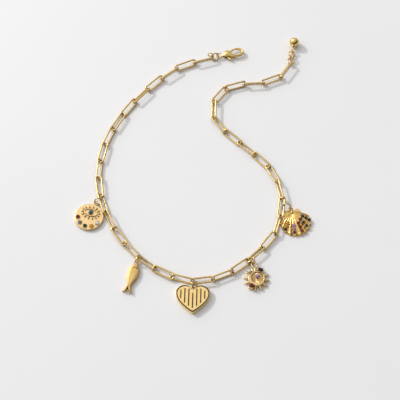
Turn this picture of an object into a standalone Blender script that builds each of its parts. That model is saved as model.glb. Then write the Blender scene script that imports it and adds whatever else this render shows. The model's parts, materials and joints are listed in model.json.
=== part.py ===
"""Charm necklace lying open on a flat surface.

A paperclip chain runs from a lobster clasp round to a small ball drop, and five charms hang from it on jump
rings: an evil-eye disc, a fish, a heart, a sun and a scallop shell. The chain's route is a smooth curve, and
every link, ring and charm finds its place from that route and from the sizes below. +Z is up, +Y points away
from the viewer and the surface is z = 0.
"""

import math
from dataclasses import dataclass

import bmesh
import bpy
from mathutils import Matrix, Vector

MM = 0.001
UP = Vector((0.0, 0.0, 1.0))

# Clearances between pieces
LINK_GAP = 0.26 * MM
RING_GAP = 0.18 * MM
STONE_GAP = 0.05 * MM
LEVER_GAP = 0.12 * MM
FUSE_DEPTH = 0.12 * MM

# Chain
LINK_COUNT = 37
LINK_LENGTH = 11.97 * MM
LINK_WIDTH = 3.8 * MM
LINK_WIRE = 0.9 * MM
LINK_CORNER = 0.85 * MM

# Chosen route of the chain's axis, from the clasp round to the ball drop, in millimetres
ROUTE = [
    (9.2, 85.2), (6.2, 84.0), (-3.0, 81.2), (-12.9, 76.9), (-27.5, 64.2), (-40.2, 48.1), (-48.6, 29.6),
    (-50.7, 10.0), (-45.9, -8.8), (-36.0, -25.6), (-21.4, -38.3), (-3.0, -45.1), (15.4, -40.0),
    (30.0, -27.5), (36.3, -20.0), (39.3, -10.8), (40.8, -1.5), (39.2, 8.0), (35.2, 17.0), (28.0, 25.0),
    (12.8, 39.0), (7.1, 47.0), (7.3, 57.0), (13.3, 64.6), (22.4, 67.6), (32.2, 68.2), (41.0, 71.4),
    (46.6, 77.4), (48.2, 85.0), (50.2, 94.5),
]
ROUTE_STEPS = 40

# Lean of each link about the chain's axis, in degrees, clasp first: positive lifts its left side
LINK_LEANS = [
    55, -25, 55, -20, 45, -35, 15, -45, 10, -45,
    15, -35, 60, 5, 55, -38, 12, 60, -8, 68,
    18, -40, 15, 70, -20, -70, 20, -30, 30, -30,
    25, -50, 5, 62, -55, 0, -62,
]

# Jump rings
RING_WIRE = 0.6 * MM
CLASP_RING_LENGTH = 4.6 * MM
CLASP_RING_WIDTH = 4.2 * MM
CLASP_RING_WIRE = 0.7 * MM
CLASP_RING_CORNER = 1.5 * MM
CLASP_RING_LEAN = -45
SPARE_RING_DIAMETER = 3.5 * MM
SPARE_RING_LEAN = 35
RING_SETTLE_STEPS = 60
END_RING_WIRE = 0.65 * MM

# Loops cast on the charms
LOOP_DIAMETER = 2.7 * MM
LOOP_WIRE = 0.6 * MM

# Clasp
EYE_DIAMETER = 3.4 * MM
EYE_WIRE = 0.6 * MM
CLASP_HEADING = 4.0
CLASP_BODY_LENGTH = 7.0 * MM
CLASP_BODY_WIDTH = 5.2 * MM
CLASP_THICKNESS = 3.0 * MM
HOOK_LENGTH = 7.6 * MM
HOOK_WIDTH = 5.8 * MM
HOOK_WIRE = 1.2 * MM
HOOK_THICKNESS = 1.6 * MM
HOOK_RISE = 1.4 * MM
LEVER_THICKNESS = 0.8 * MM
LEVER_HUB = 1.0 * MM
LEVER_ARM = 0.4 * MM
PIN_DIAMETER = 0.8 * MM
PIN_RISE = 0.3 * MM
CLASP_EDGE = 0.5 * MM

# Charms: thickness and outline of each
DISC_DIAMETER = 14.4 * MM
DISC_THICKNESS = 1.5 * MM
FISH_LENGTH = 15.0 * MM
FISH_WIDTH = 5.8 * MM
FISH_THICKNESS = 2.0 * MM
HEART_WIDTH = 16.2 * MM
HEART_HEIGHT = 14.2 * MM
HEART_THICKNESS = 2.4 * MM
HEART_FULLNESS = 1.6
HEART_RIM = 0.55 * MM
HEART_GROOVE = 0.5 * MM
HEART_GROOVE_DEPTH = 0.45 * MM
HEART_LINES = 7
SUN_DIAMETER = 13.0 * MM
SUN_THICKNESS = 1.3 * MM
SUN_RAYS = 12
SHELL_LENGTH = 12.6 * MM
SHELL_HALF_ANGLE = 68.0
SHELL_RIBS = 11
SHELL_CREST = 2.4 * MM
SHELL_RIM = 0.9 * MM
SHELL_RIB_HEIGHT = 0.3 * MM
SHELL_HINGE = 1.9 * MM
EAR_SPREAD = 3.9 * MM
EAR_RISE = 1.5 * MM

# Stones
STONE_RADIUS = 0.85 * MM
STONE_HEIGHT = 0.7 * MM
CUP_WALL = 0.25 * MM
EYE_STONE_RADIUS = 1.0 * MM
RELIEF = 0.35 * MM

# Stones of the sun: name, angle round its middle, share of its radius, stone radius, stretch
SUN_STONES = [
    ("sun_stone_clear", 125, 0.76, 1.0 * MM, 1.0),
    ("sun_stone_navy", 57, 0.74, 0.95 * MM, 1.35),
    ("sun_stone_ruby", 231, 0.72, 1.15 * MM, 1.0),
    ("sun_stone_lilac", 61, 0.2, 0.85 * MM, 1.0),
]

# Stones of the shell: angle from its axis, then the shares of the fan's length at which they sit
SHELL_STONES = [
    (46, (0.55, 0.74, 0.92)),
    (25, (0.49, 0.67, 0.85)),
    (6, (0.54, 0.71, 0.88)),
    (-14, (0.65, 0.77, 0.89)),
    (-39, (0.6, 0.75, 0.9)),
]

# Ball drop
BALL_DIAMETER = 5.0 * MM
BALL_NECK = 1.2 * MM
BALL_EYE_DIAMETER = 3.0 * MM
BALL_EYE_WIRE = 0.6 * MM
BALL_EYE_LEAN = -60


@dataclass
class Loop:
    """One closed wire loop of the chain: outer length and width, wire, corner radius and lean."""

    name: str
    length: float
    width: float
    wire: float
    corner: float
    lean: float

    def reach(self):
        """Distance between the two junctions that the loop joins."""
        return self.length - 2 * self.wire - LINK_GAP

    def rest_height(self):
        """Height of the loop's axis when its low side touches the surface."""
        return (self.width - self.wire) / 2 * abs(math.sin(math.radians(self.lean))) + self.wire / 2


@dataclass
class Hang:
    """How a jump ring hangs on a link's outer side, and which way its charm lies."""

    charm: str
    link: int
    along: float
    ring: float
    heading: float
    lean: float
    charm_heading: float
    loop_height: float


HANGS = [
    Hang("eye", 12, -1.9 * MM, 4.2 * MM, -155, 20, -110.0, 1.1 * MM),
    Hang("fish", 16, -3.9 * MM, 3.7 * MM, -120, 22, -106.0, 1.4 * MM),
    Hang("heart", 19, -3.8 * MM, 3.9 * MM, -118, 12, -91.6, 1.4 * MM),
    Hang("sun", 22, -3.3 * MM, 3.9 * MM, -70, -10, -82.0, 1.4 * MM),
    Hang("shell", 25, 0.4 * MM, 5.0 * MM, -22, -20, -71.0, 1.4 * MM),
]


def clear_scene():
    """Removes the objects that a new file starts with."""
    for obj in list(bpy.data.objects):
        bpy.data.objects.remove(obj, do_unlink=True)


def make_collection(name):
    """Returns a new collection linked to the scene."""
    collection = bpy.data.collections.new(name)
    bpy.context.scene.collection.children.link(collection)
    return collection


def make_material(name, colour, roughness, metallic):
    """Returns a Principled material."""
    material = bpy.data.materials.new(name)
    material.use_nodes = True
    shader = material.node_tree.nodes["Principled BSDF"]
    shader.inputs["Base Color"].default_value = (*colour, 1.0)
    shader.inputs["Roughness"].default_value = roughness
    shader.inputs["Metallic"].default_value = metallic
    return material


def polar(radius, degrees, centre=(0.0, 0.0)):
    """Returns the point at a radius and an angle round a centre."""
    angle = math.radians(degrees)
    return (centre[0] + radius * math.cos(angle), centre[1] + radius * math.sin(angle))


def circle_points(radius, count, centre=(0.0, 0.0)):
    """Returns evenly spaced points on a circle."""
    return [polar(radius, 360.0 * index / count, centre) for index in range(count)]


def loop_points(length, width, wire, corner, corner_steps):
    """Returns the centre line of a rounded wire loop, its long axis along X."""
    half_length = (length - wire) / 2
    half_width = (width - wire) / 2
    points = []
    for quadrant, (sx, sy) in enumerate(((1, 1), (-1, 1), (-1, -1), (1, -1))):
        middle = (sx * (half_length - corner), sy * (half_width - corner))
        for step in range(corner_steps + 1):
            point = Vector(polar(corner, 90.0 * (quadrant + step / corner_steps), middle))
            if not points or (point - points[-1]).length > 0.01 * MM:
                points.append(point)
    if (points[0] - points[-1]).length < 0.01 * MM:
        points.pop()
    return points


def wire_curve(name, points, wire):
    """Returns a closed curve through the points, swept with a six-sided wire."""
    curve = bpy.data.curves.new(name, "CURVE")
    curve.dimensions = "3D"
    curve.bevel_depth = wire / 2
    curve.bevel_resolution = 1
    spline = curve.splines.new("POLY")
    spline.points.add(len(points) - 1)
    for slot, point in zip(spline.points, points):
        slot.co = (point[0], point[1], 0.0, 1.0)
    spline.use_cyclic_u = True
    return curve


def add_object(name, data, material, collection):
    """Links a new object that holds the data and shows the material."""
    if not data.materials:
        data.materials.append(material)
    obj = bpy.data.objects.new(name, data)
    collection.objects.link(obj)
    return obj


def evaluated_mesh(obj):
    """Returns a welded mesh of the object as its modifiers or its curve make it."""
    bpy.context.view_layer.update()
    depsgraph = bpy.context.evaluated_depsgraph_get()
    mesh = bpy.data.meshes.new_from_object(obj.evaluated_get(depsgraph))
    bm = bmesh.new()
    bm.from_mesh(mesh)
    bmesh.ops.remove_doubles(bm, verts=bm.verts, dist=0.002 * MM)
    bmesh.ops.recalc_face_normals(bm, faces=bm.faces)
    bm.to_mesh(mesh)
    bm.free()
    return mesh


def curve_to_mesh(name, curve, collection, matrix=None):
    """Returns a mesh object of the curve, and drops the curve."""
    temporary = bpy.data.objects.new(name + "_curve", curve)
    collection.objects.link(temporary)
    mesh = evaluated_mesh(temporary)
    bpy.data.objects.remove(temporary, do_unlink=True)
    if matrix is not None:
        mesh.transform(matrix)
    obj = bpy.data.objects.new(name, mesh)
    collection.objects.link(obj)
    return obj


def plate(name, outlines, bottom, top, edge, collection):
    """Returns a flat solid: the first outline filled, the others cut out of it, its edges eased."""
    curve = bpy.data.curves.new(name, "CURVE")
    curve.dimensions = "2D"
    curve.fill_mode = "BOTH"
    curve.extrude = (top - bottom) / 2 - edge
    curve.bevel_depth = edge
    curve.bevel_resolution = 0
    curve.offset = -edge
    for outline in outlines:
        spline = curve.splines.new("POLY")
        spline.points.add(len(outline) - 1)
        for slot, point in zip(spline.points, outline):
            slot.co = (point[0], point[1], 0.0, 1.0)
        spline.use_cyclic_u = True
    return curve_to_mesh(name, curve, collection, Matrix.Translation((0.0, 0.0, (bottom + top) / 2)))


def wire_ring(name, length, width, wire, centre, collection):
    """Returns a mesh ring lying flat round a centre, long axis along Y."""
    points = loop_points(length, width, wire, (width - wire) / 2, 3)
    matrix = Matrix.Translation(centre) @ Matrix.Rotation(math.radians(90), 4, "Z")
    return curve_to_mesh(name, wire_curve(name, points, wire), collection, matrix)


def cone(bm, centre, radius, top_radius, bottom, top, segments, stretch=1.0, turn=0.0):
    """Adds an upright cylinder or frustum, stretched along its own X where asked."""
    matrix = (Matrix.Translation((centre[0], centre[1], (bottom + top) / 2))
              @ Matrix.Rotation(math.radians(turn), 4, "Z") @ Matrix.Diagonal((stretch, 1.0, 1.0, 1.0)))
    bmesh.ops.create_cone(bm, cap_ends=True, segments=segments, radius1=radius, radius2=top_radius,
                          depth=top - bottom, matrix=matrix)


def bar(bm, start, end, width, bottom, top):
    """Adds a straight bar between two points."""
    start = Vector(start)
    end = Vector(end)
    run = end - start
    middle = (start + end) / 2
    matrix = (Matrix.Translation((middle.x, middle.y, (bottom + top) / 2))
              @ Matrix.Rotation(math.atan2(run.y, run.x), 4, "Z")
              @ Matrix.Diagonal((run.length, width, top - bottom, 1.0)))
    bmesh.ops.create_cube(bm, size=1.0, matrix=matrix)


def cut_stone(bm, centre, radius, base, height, stretch=1.0, turn=0.0):
    """Adds a cut stone: eight crown facets round a flat table."""
    cone(bm, centre, radius, 0.55 * radius, base, base + height, 8, stretch, turn)


def mesh_object(name, bm, collection):
    """Returns an object that holds the finished bmesh."""
    mesh = bpy.data.meshes.new(name)
    bm.to_mesh(mesh)
    bm.free()
    obj = bpy.data.objects.new(name, mesh)
    collection.objects.link(obj)
    return obj


def combine(base, tool, operation):
    """Joins the tool to the base, or cuts it out, and drops the tool."""
    modifier = base.modifiers.new(operation.lower(), "BOOLEAN")
    modifier.operation = operation
    modifier.object = tool
    mesh = evaluated_mesh(base)
    base.modifiers.remove(modifier)
    base.data = mesh
    bpy.data.objects.remove(tool, do_unlink=True)


def finish_casting(name, base, material, collection, workshop):
    """Moves a finished casting out of the workshop under its own name."""
    workshop.objects.unlink(base)
    collection.objects.link(base)
    base.name = name
    base.data.materials.clear()
    base.data.materials.append(material)
    base.data.set_sharp_from_angle(angle=math.radians(35))
    return base


def smooth_route(points):
    """Returns close points on a smooth curve through the route, run on straight past its end."""
    route = [Vector(point) * MM for point in points]
    route = [2 * route[0] - route[1]] + route + [2 * route[-1] - route[-2]]
    samples = []
    for index in range(1, len(route) - 2):
        before, start, end, after = route[index - 1:index + 3]
        for step in range(ROUTE_STEPS):
            t = step / ROUTE_STEPS
            samples.append(0.5 * ((2 * start) + (end - before) * t
                                  + (2 * before - 5 * start + 4 * end - after) * t ** 2
                                  + (3 * start - before - 3 * end + after) * t ** 3))
    heading = (samples[-1] - samples[-2]).normalized()
    samples += [samples[-1] + heading * LINK_LENGTH * step / 4 for step in range(1, 400)]
    return samples


def walk_route(loops, clasp_height, drop_height):
    """Returns the junctions before, between and after the loops, each loop's reach apart."""
    rests = [clasp_height] + [loop.rest_height() for loop in loops] + [drop_height]
    heights = [max(before, after) for before, after in zip(rests, rests[1:])]
    samples = smooth_route(ROUTE)
    junctions = [samples[0].to_3d() + UP * heights[0]]
    here = samples[0]
    index = 1
    for loop, low, high in zip(loops, heights, heights[1:]):
        run = math.sqrt(loop.reach() ** 2 - (high - low) ** 2)
        while (samples[index] - here).length < run:
            index += 1
        near = (samples[index - 1] - here).length
        far = (samples[index] - here).length
        here = samples[index - 1].lerp(samples[index], (run - near) / (far - near))
        junctions.append(here.to_3d() + UP * high)
    return junctions


def lean_matrix(centre, heading, lean):
    """Returns the placement of a flat loop: X along the heading, its left side lifted by the lean."""
    along = heading.normalized()
    left = UP.cross(along).normalized()
    rise = along.cross(left)
    angle = math.radians(lean)
    side = left * math.cos(angle) + rise * math.sin(angle)
    face = along.cross(side)
    return Matrix.Translation(centre) @ Matrix((along, side, face)).transposed().to_4x4()


def chain_loops():
    """Returns every loop of the chain in order, from the clasp's jump ring to the last end ring."""
    loops = [Loop("clasp_jump_ring", CLASP_RING_LENGTH, CLASP_RING_WIDTH, CLASP_RING_WIRE, CLASP_RING_CORNER,
                  CLASP_RING_LEAN)]
    for index in range(LINK_COUNT):
        lean = LINK_LEANS[index % len(LINK_LEANS)]
        loops.append(Loop(f"link_{index + 1:02d}", LINK_LENGTH, LINK_WIDTH, LINK_WIRE, LINK_CORNER, lean))
    for name, length, width, lean in (("end_ring_a", 4.6 * MM, 3.8 * MM, 20), ("end_ring_b", 3.4 * MM, 3.4 * MM, -60),
                                      ("end_ring_c", 4.2 * MM, 4.2 * MM, 20)):
        loops.append(Loop(name, length, width, END_RING_WIRE, (width - END_RING_WIRE) / 2, lean))
    return loops


def make_chain(loops, junctions, gold, collection):
    """Makes the links and the rings in line with them, and returns their placements by name."""
    shapes = {}
    placements = {}
    for loop, start, end in zip(loops, junctions, junctions[1:]):
        key = (loop.length, loop.width, loop.wire, loop.corner)
        if key not in shapes:
            steps = 2 if loop.name.startswith("link") else 3
            points = loop_points(loop.length, loop.width, loop.wire, loop.corner, steps)
            shapes[key] = wire_curve(loop.name.split("_")[0] + "_wire", points, loop.wire)
        obj = add_object(loop.name, shapes[key], gold, collection)
        obj.matrix_world = lean_matrix((start + end) / 2, end - start, loop.lean)
        placements[loop.name] = obj.matrix_world.copy()
    return placements


def ring_placement(grip, wire_direction, toward, diameter, wire_held, lean):
    """Returns a ring's placement round a held wire, and the point where its far side passes.

    A wire that crosses the ring's plane on the slant takes more room along the ring, so the slant counts.
    """
    middle_radius = (diameter - RING_WIRE) / 2
    normal = (wire_direction - toward * wire_direction.dot(toward)).normalized()
    normal = Matrix.Rotation(math.radians(lean), 3, toward) @ normal
    slant = wire_direction.dot(toward) / wire_direction.dot(normal)
    held = wire_held / 2 * math.sqrt(1 + slant ** 2)
    far_side = grip + toward * (2 * middle_radius - RING_WIRE / 2 - held - RING_GAP)
    centre = far_side - toward * middle_radius
    side = normal.cross(toward)
    return Matrix.Translation(centre) @ Matrix((toward, side, normal)).transposed().to_4x4(), far_side


def lowest_point(placement, diameter, wire):
    """Returns the height of a placed ring's lowest point."""
    upright = math.sqrt(1 - (placement.to_3x3() @ UP).z ** 2)
    return placement.translation.z - (diameter - wire) / 2 * upright - wire / 2


def hang_charm(hang, placements, gold, collection):
    """Makes a charm's jump ring on its link, and returns the placement of the charm.

    The ring points from the link down to the charm's loop, and leans over until it clears the surface.
    """
    link = placements[f"link_{hang.link:02d}"]
    grip = link @ Vector((hang.along, -(LINK_WIDTH - LINK_WIRE) / 2, 0.0))
    wire_direction = link.to_3x3() @ Vector((1.0, 0.0, 0.0))
    toward = Vector((*polar(1.0, hang.heading), 0.0))
    lean = hang.lean
    for _ in range(RING_SETTLE_STEPS):
        placement, far_side = ring_placement(grip, wire_direction, toward, hang.ring, LINK_WIRE, lean)
        drop = grip.z - hang.loop_height
        run = math.sqrt(max((far_side - grip).length ** 2 - drop ** 2, 0.0))
        toward = Vector((*polar(run, hang.heading), -drop)).normalized()
        if lowest_point(placement, hang.ring, RING_WIRE) < 0.0:
            lean += math.copysign(1.0, lean)
    points = circle_points((hang.ring - RING_WIRE) / 2, 12)
    ring = add_object(hang.charm + "_ring", wire_curve(hang.charm + "_ring", points, RING_WIRE), gold, collection)
    ring.matrix_world = placement
    turn = Matrix.Rotation(math.radians(hang.charm_heading + 90), 4, "Z")
    return Matrix.Translation((far_side.x, far_side.y, 0.0)) @ turn


def make_spare_ring(placements, gold, collection):
    """Makes the small ring hooked round a corner of the clasp's jump ring."""
    holder = placements["clasp_jump_ring"]
    half_length = (CLASP_RING_LENGTH - CLASP_RING_WIRE) / 2
    half_width = (CLASP_RING_WIDTH - CLASP_RING_WIRE) / 2
    corner = polar(CLASP_RING_CORNER, -45, (half_length - CLASP_RING_CORNER, -(half_width - CLASP_RING_CORNER)))
    grip = holder @ Vector((*corner, 0.0))
    turn = holder.to_3x3()
    outward = turn @ Vector((*polar(1.0, -45), 0.0))
    wire_direction = turn @ Vector((*polar(1.0, 45), 0.0))
    placement, _ = ring_placement(grip, wire_direction, outward, SPARE_RING_DIAMETER, CLASP_RING_WIRE,
                                  SPARE_RING_LEAN)
    points = circle_points((SPARE_RING_DIAMETER - RING_WIRE) / 2, 12)
    ring = add_object("spare_ring", wire_curve("spare_ring", points, RING_WIRE), gold, collection)
    ring.matrix_world = placement


def loop_and_stem(height, length, stem_end, collection):
    """Returns a charm's loop round the frame's origin, with a short stem towards the charm."""
    centre = (0.0, (LOOP_DIAMETER - length) / 2, height)
    loop = wire_ring("loop", length, LOOP_DIAMETER, LOOP_WIRE, centre, collection)
    bm = bmesh.new()
    foot = centre[1] - length / 2 + LOOP_WIRE / 2
    bar(bm, (0.0, foot), (0.0, stem_end), LOOP_WIRE, height - LOOP_WIRE * 0.45, height + LOOP_WIRE * 0.45)
    combine(loop, mesh_object("stem", bm, collection), "UNION")
    return loop


def make_eye_disc(loop_height, workshop):
    """Returns the disc: raised almond eye with rays, and an arc of five stones."""
    radius = DISC_DIAMETER / 2
    middle = (0.0, -radius - 0.9 * MM)
    eye = (0.0, middle[1] + 0.32 * radius)
    almond_half = 0.47 * radius
    almond_rise = 0.26 * radius
    disc = plate("disc", [circle_points(radius, 36, middle)], 0.0, DISC_THICKNESS, 0.3 * MM, workshop)
    face = DISC_THICKNESS - FUSE_DEPTH
    top = DISC_THICKNESS + RELIEF

    def almond(half, rise):
        """Returns the eye's outline: two arcs that meet in its corners."""
        xs = [half * math.cos(math.radians(angle)) for angle in range(0, 360, 20)]
        shares = [math.sin(math.radians(angle)) for angle in range(0, 360, 20)]
        return [(x, eye[1] + math.copysign(abs(share) ** 1.5, share) * rise) for x, share in zip(xs, shares)]

    rim = 1.3 * RELIEF
    lids = plate("lids", [almond(almond_half, almond_rise), almond(almond_half - 1.6 * rim, almond_rise - rim)],
                 face, top, 0.0, workshop)
    combine(disc, lids, "UNION")
    bm = bmesh.new()
    for index in range(14):
        angle = 360.0 * (index + 0.5) / 14
        inner = polar(1.0, angle)
        start = (inner[0] * 1.08 * almond_half, eye[1] + inner[1] * 1.14 * almond_rise)
        end = (inner[0] * 1.42 * almond_half, eye[1] + inner[1] * 1.85 * almond_rise)
        bar(bm, start, end, 1.2 * RELIEF, face, top)
    stone_spots = [polar(0.765 * radius, -90 + 34 * index, middle) for index in range(-2, 3)]
    for spot in stone_spots:
        cone(bm, spot, STONE_RADIUS + CUP_WALL, STONE_RADIUS + 0.6 * CUP_WALL, face, DISC_THICKNESS + 0.2 * MM, 12)
    combine(disc, mesh_object("rays", bm, workshop), "UNION")
    bm = bmesh.new()
    for spot in stone_spots:
        cut_stone(bm, spot, STONE_RADIUS, DISC_THICKNESS + 0.1 * MM, STONE_HEIGHT)
    combine(disc, mesh_object("stones", bm, workshop), "UNION")
    combine(disc, loop_and_stem(loop_height, LOOP_DIAMETER, middle[1] + radius - 0.5 * MM, workshop), "UNION")
    return disc, Vector((*eye, DISC_THICKNESS + STONE_GAP))


def make_fish(loop_height, workshop):
    """Returns the fish: head at the loop, body outline from a short table, forked tail."""
    # Half-outline: share of the length from the head, share of half the width
    half_outline = [(0.0, 0.25), (0.05, 0.55), (0.16, 0.88), (0.32, 1.0), (0.5, 0.84), (0.66, 0.52),
                    (0.78, 0.26), (0.86, 0.4), (1.0, 0.72)]
    head = -0.8 * MM
    right = [(share * FISH_WIDTH / 2, head - along * FISH_LENGTH) for along, share in half_outline]
    notch = [(0.0, head - 0.9 * FISH_LENGTH)]
    left = [(-x, y) for x, y in reversed(right)]
    fish = plate("fish", [right + notch + left], 0.0, FISH_THICKNESS, 0.3 * MM, workshop)
    low = FISH_THICKNESS - FUSE_DEPTH
    top = FISH_THICKNESS + RELIEF
    gill_centre = (0.0, head - 0.13 * FISH_LENGTH)
    gill_radius = 0.36 * FISH_WIDTH
    gill = (ellipse_arc(gill_radius, gill_radius, gill_centre, -145, -35, 6)
            + ellipse_arc(gill_radius - 0.4 * MM, gill_radius - 0.4 * MM, gill_centre, -35, -145, 6))
    combine(fish, plate("gill", [gill], low, top, 0.0, workshop), "UNION")
    bm = bmesh.new()
    cone(bm, (0.14 * FISH_WIDTH, head - 0.12 * FISH_LENGTH), 0.42 * MM, 0.3 * MM, low, top, 10)
    for index in range(4):
        y = head - FISH_LENGTH * (0.4 + 0.1 * index)
        half = FISH_WIDTH * (0.3 - 0.05 * index)
        bar(bm, (-half, y), (half, y), 0.3 * MM, low, FISH_THICKNESS + 0.18 * MM)
    for side in (-1, 1):
        bar(bm, (side * 0.3 * MM, head - 0.82 * FISH_LENGTH), (side * 0.25 * FISH_WIDTH, head - 0.93 * FISH_LENGTH),
            0.3 * MM, low, FISH_THICKNESS + 0.18 * MM)
    combine(fish, mesh_object("scales", bm, workshop), "UNION")
    combine(fish, loop_and_stem(loop_height, LOOP_DIAMETER, head - 1.2 * MM, workshop), "UNION")
    return fish


def heart_outline(width, height, lobes_top, inset=0.0):
    """Returns the classic heart curve with fuller flanks, fitted to a width and height and drawn in by an inset."""
    tallest = 11.97
    lowest = -17.0
    points = []
    for index in range(40):
        t = 2 * math.pi * (index + 0.5) / 40
        x = 16 * math.copysign(abs(math.sin(t)) ** (3.0 if math.cos(t) > 0 else HEART_FULLNESS), math.sin(t))
        y = 13 * math.cos(t) - 5 * math.cos(2 * t) - 2 * math.cos(3 * t) - math.cos(4 * t)
        points.append((x * (width - 2 * inset) / 32,
                       lobes_top - inset + (y - tallest) * (height - 2.3 * inset) / (tallest - lowest)))
    return points


def outline_span(outline, x):
    """Returns the lowest and the highest point of an outline where it crosses a line of equal x."""
    crossings = []
    for (x0, y0), (x1, y1) in zip(outline, outline[1:] + outline[:1]):
        if (x0 - x) * (x1 - x) < 0:
            crossings.append(y0 + (y1 - y0) * (x - x0) / (x1 - x0))
    return min(crossings), max(crossings)


def make_heart(loop_height, workshop):
    """Returns the heart: a groove inside its rim, plain upright grooves, and its loop in the notch."""
    lobes_top = 0.4 * LOOP_DIAMETER
    outline = heart_outline(HEART_WIDTH, HEART_HEIGHT, lobes_top)
    heart = plate("heart", [outline], 0.0, HEART_THICKNESS, 0.5 * HEART_RIM, workshop)
    floor = HEART_THICKNESS - HEART_GROOVE_DEPTH
    above = HEART_THICKNESS + HEART_GROOVE
    inner = HEART_RIM + HEART_GROOVE
    groove = plate("groove", [heart_outline(HEART_WIDTH, HEART_HEIGHT, lobes_top, HEART_RIM),
                              heart_outline(HEART_WIDTH, HEART_HEIGHT, lobes_top, inner)],
                   floor, above, 0.0, workshop)
    combine(heart, groove, "DIFFERENCE")
    face_inset = inner + 1.5 * HEART_GROOVE
    face = heart_outline(HEART_WIDTH, HEART_HEIGHT, lobes_top, face_inset)
    spacing = (HEART_WIDTH - 2 * face_inset) / (HEART_LINES - 0.2)
    bm = bmesh.new()
    for line in range(HEART_LINES):
        x = (line - (HEART_LINES - 1) / 2) * spacing
        low, high = outline_span(face, x + 0.01 * MM)
        bar(bm, (x, low), (x, high), HEART_GROOVE, floor, above)
    combine(heart, mesh_object("lines", bm, workshop), "DIFFERENCE")
    bm = bmesh.new()
    cone(bm, (0.0, 0.0), LOOP_DIAMETER / 2 + RING_GAP, LOOP_DIAMETER / 2 + RING_GAP, -above, 2 * above, 24)
    combine(heart, mesh_object("relief", bm, workshop), "DIFFERENCE")
    notch = min(outline_span(outline, 0.01 * MM)[1], -LOOP_DIAMETER / 2 - RING_GAP)
    combine(heart, loop_and_stem(loop_height, LOOP_DIAMETER, notch - LOOP_WIRE, workshop), "UNION")
    return heart


def make_sun(loop_height, workshop):
    """Returns the sun: pointed rays, raised crescent round a recessed middle, four cups, tapered bail."""
    radius = SUN_DIAMETER / 2
    middle = (0.0, -radius - 1.35 * MM)
    star = []
    for index in range(2 * SUN_RAYS):
        reach = radius if index % 2 else 0.62 * radius
        star.append(polar(reach, 360.0 * index / (2 * SUN_RAYS), middle))
    sun = plate("star", [star], 0.0, SUN_THICKNESS, 0.0, workshop)
    crescent = plate("crescent", [circle_points(0.61 * radius, 32, middle),
                                  circle_points(0.46 * radius, 24, polar(0.09 * radius, 30, middle))],
                     0.3 * MM, SUN_THICKNESS + 0.75 * MM, 0.0, workshop)
    combine(sun, crescent, "UNION")
    bm = bmesh.new()
    for index in range(SUN_RAYS):
        angle = 360.0 * (index + 0.5) / SUN_RAYS
        bar(bm, polar(0.66 * radius, angle, middle), polar(0.9 * radius, angle, middle), 0.4 * MM,
            SUN_THICKNESS - FUSE_DEPTH, SUN_THICKNESS + 0.3 * MM)
    combine(sun, mesh_object("ray_ridges", bm, workshop), "UNION")
    seats = []
    for name, angle, share, size, stretch in SUN_STONES:
        spot = polar(share * radius, angle, middle)
        seat = SUN_THICKNESS + (0.95 * MM if share > 0.3 else 0.25 * MM)
        bm = bmesh.new()
        cone(bm, spot, size + 1.4 * CUP_WALL, size + CUP_WALL, 0.3 * SUN_THICKNESS, seat, 14, stretch, angle + 90)
        combine(sun, mesh_object("cup", bm, workshop), "UNION")
        seats.append((name, Vector((*spot, seat + STONE_GAP)), size, stretch, angle + 90))
    bail_length = LOOP_DIAMETER + 1.1 * MM
    combine(sun, loop_and_stem(loop_height, bail_length, middle[1] + 0.6 * radius, workshop), "UNION")
    return sun, seats


def shell_reach(angle):
    """Returns the fan's length at an angle from its axis."""
    return SHELL_LENGTH * (1 - 0.42 * (angle / SHELL_HALF_ANGLE) ** 2)


def shell_height(share, rib_phase):
    """Returns the fan's height: domed along its length, raised on each rib."""
    dome = SHELL_RIM + (SHELL_CREST - SHELL_RIM) * math.sin(math.pi * (0.25 + 0.75 * share))
    return dome + SHELL_RIB_HEIGHT * share * math.cos(rib_phase)


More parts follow.
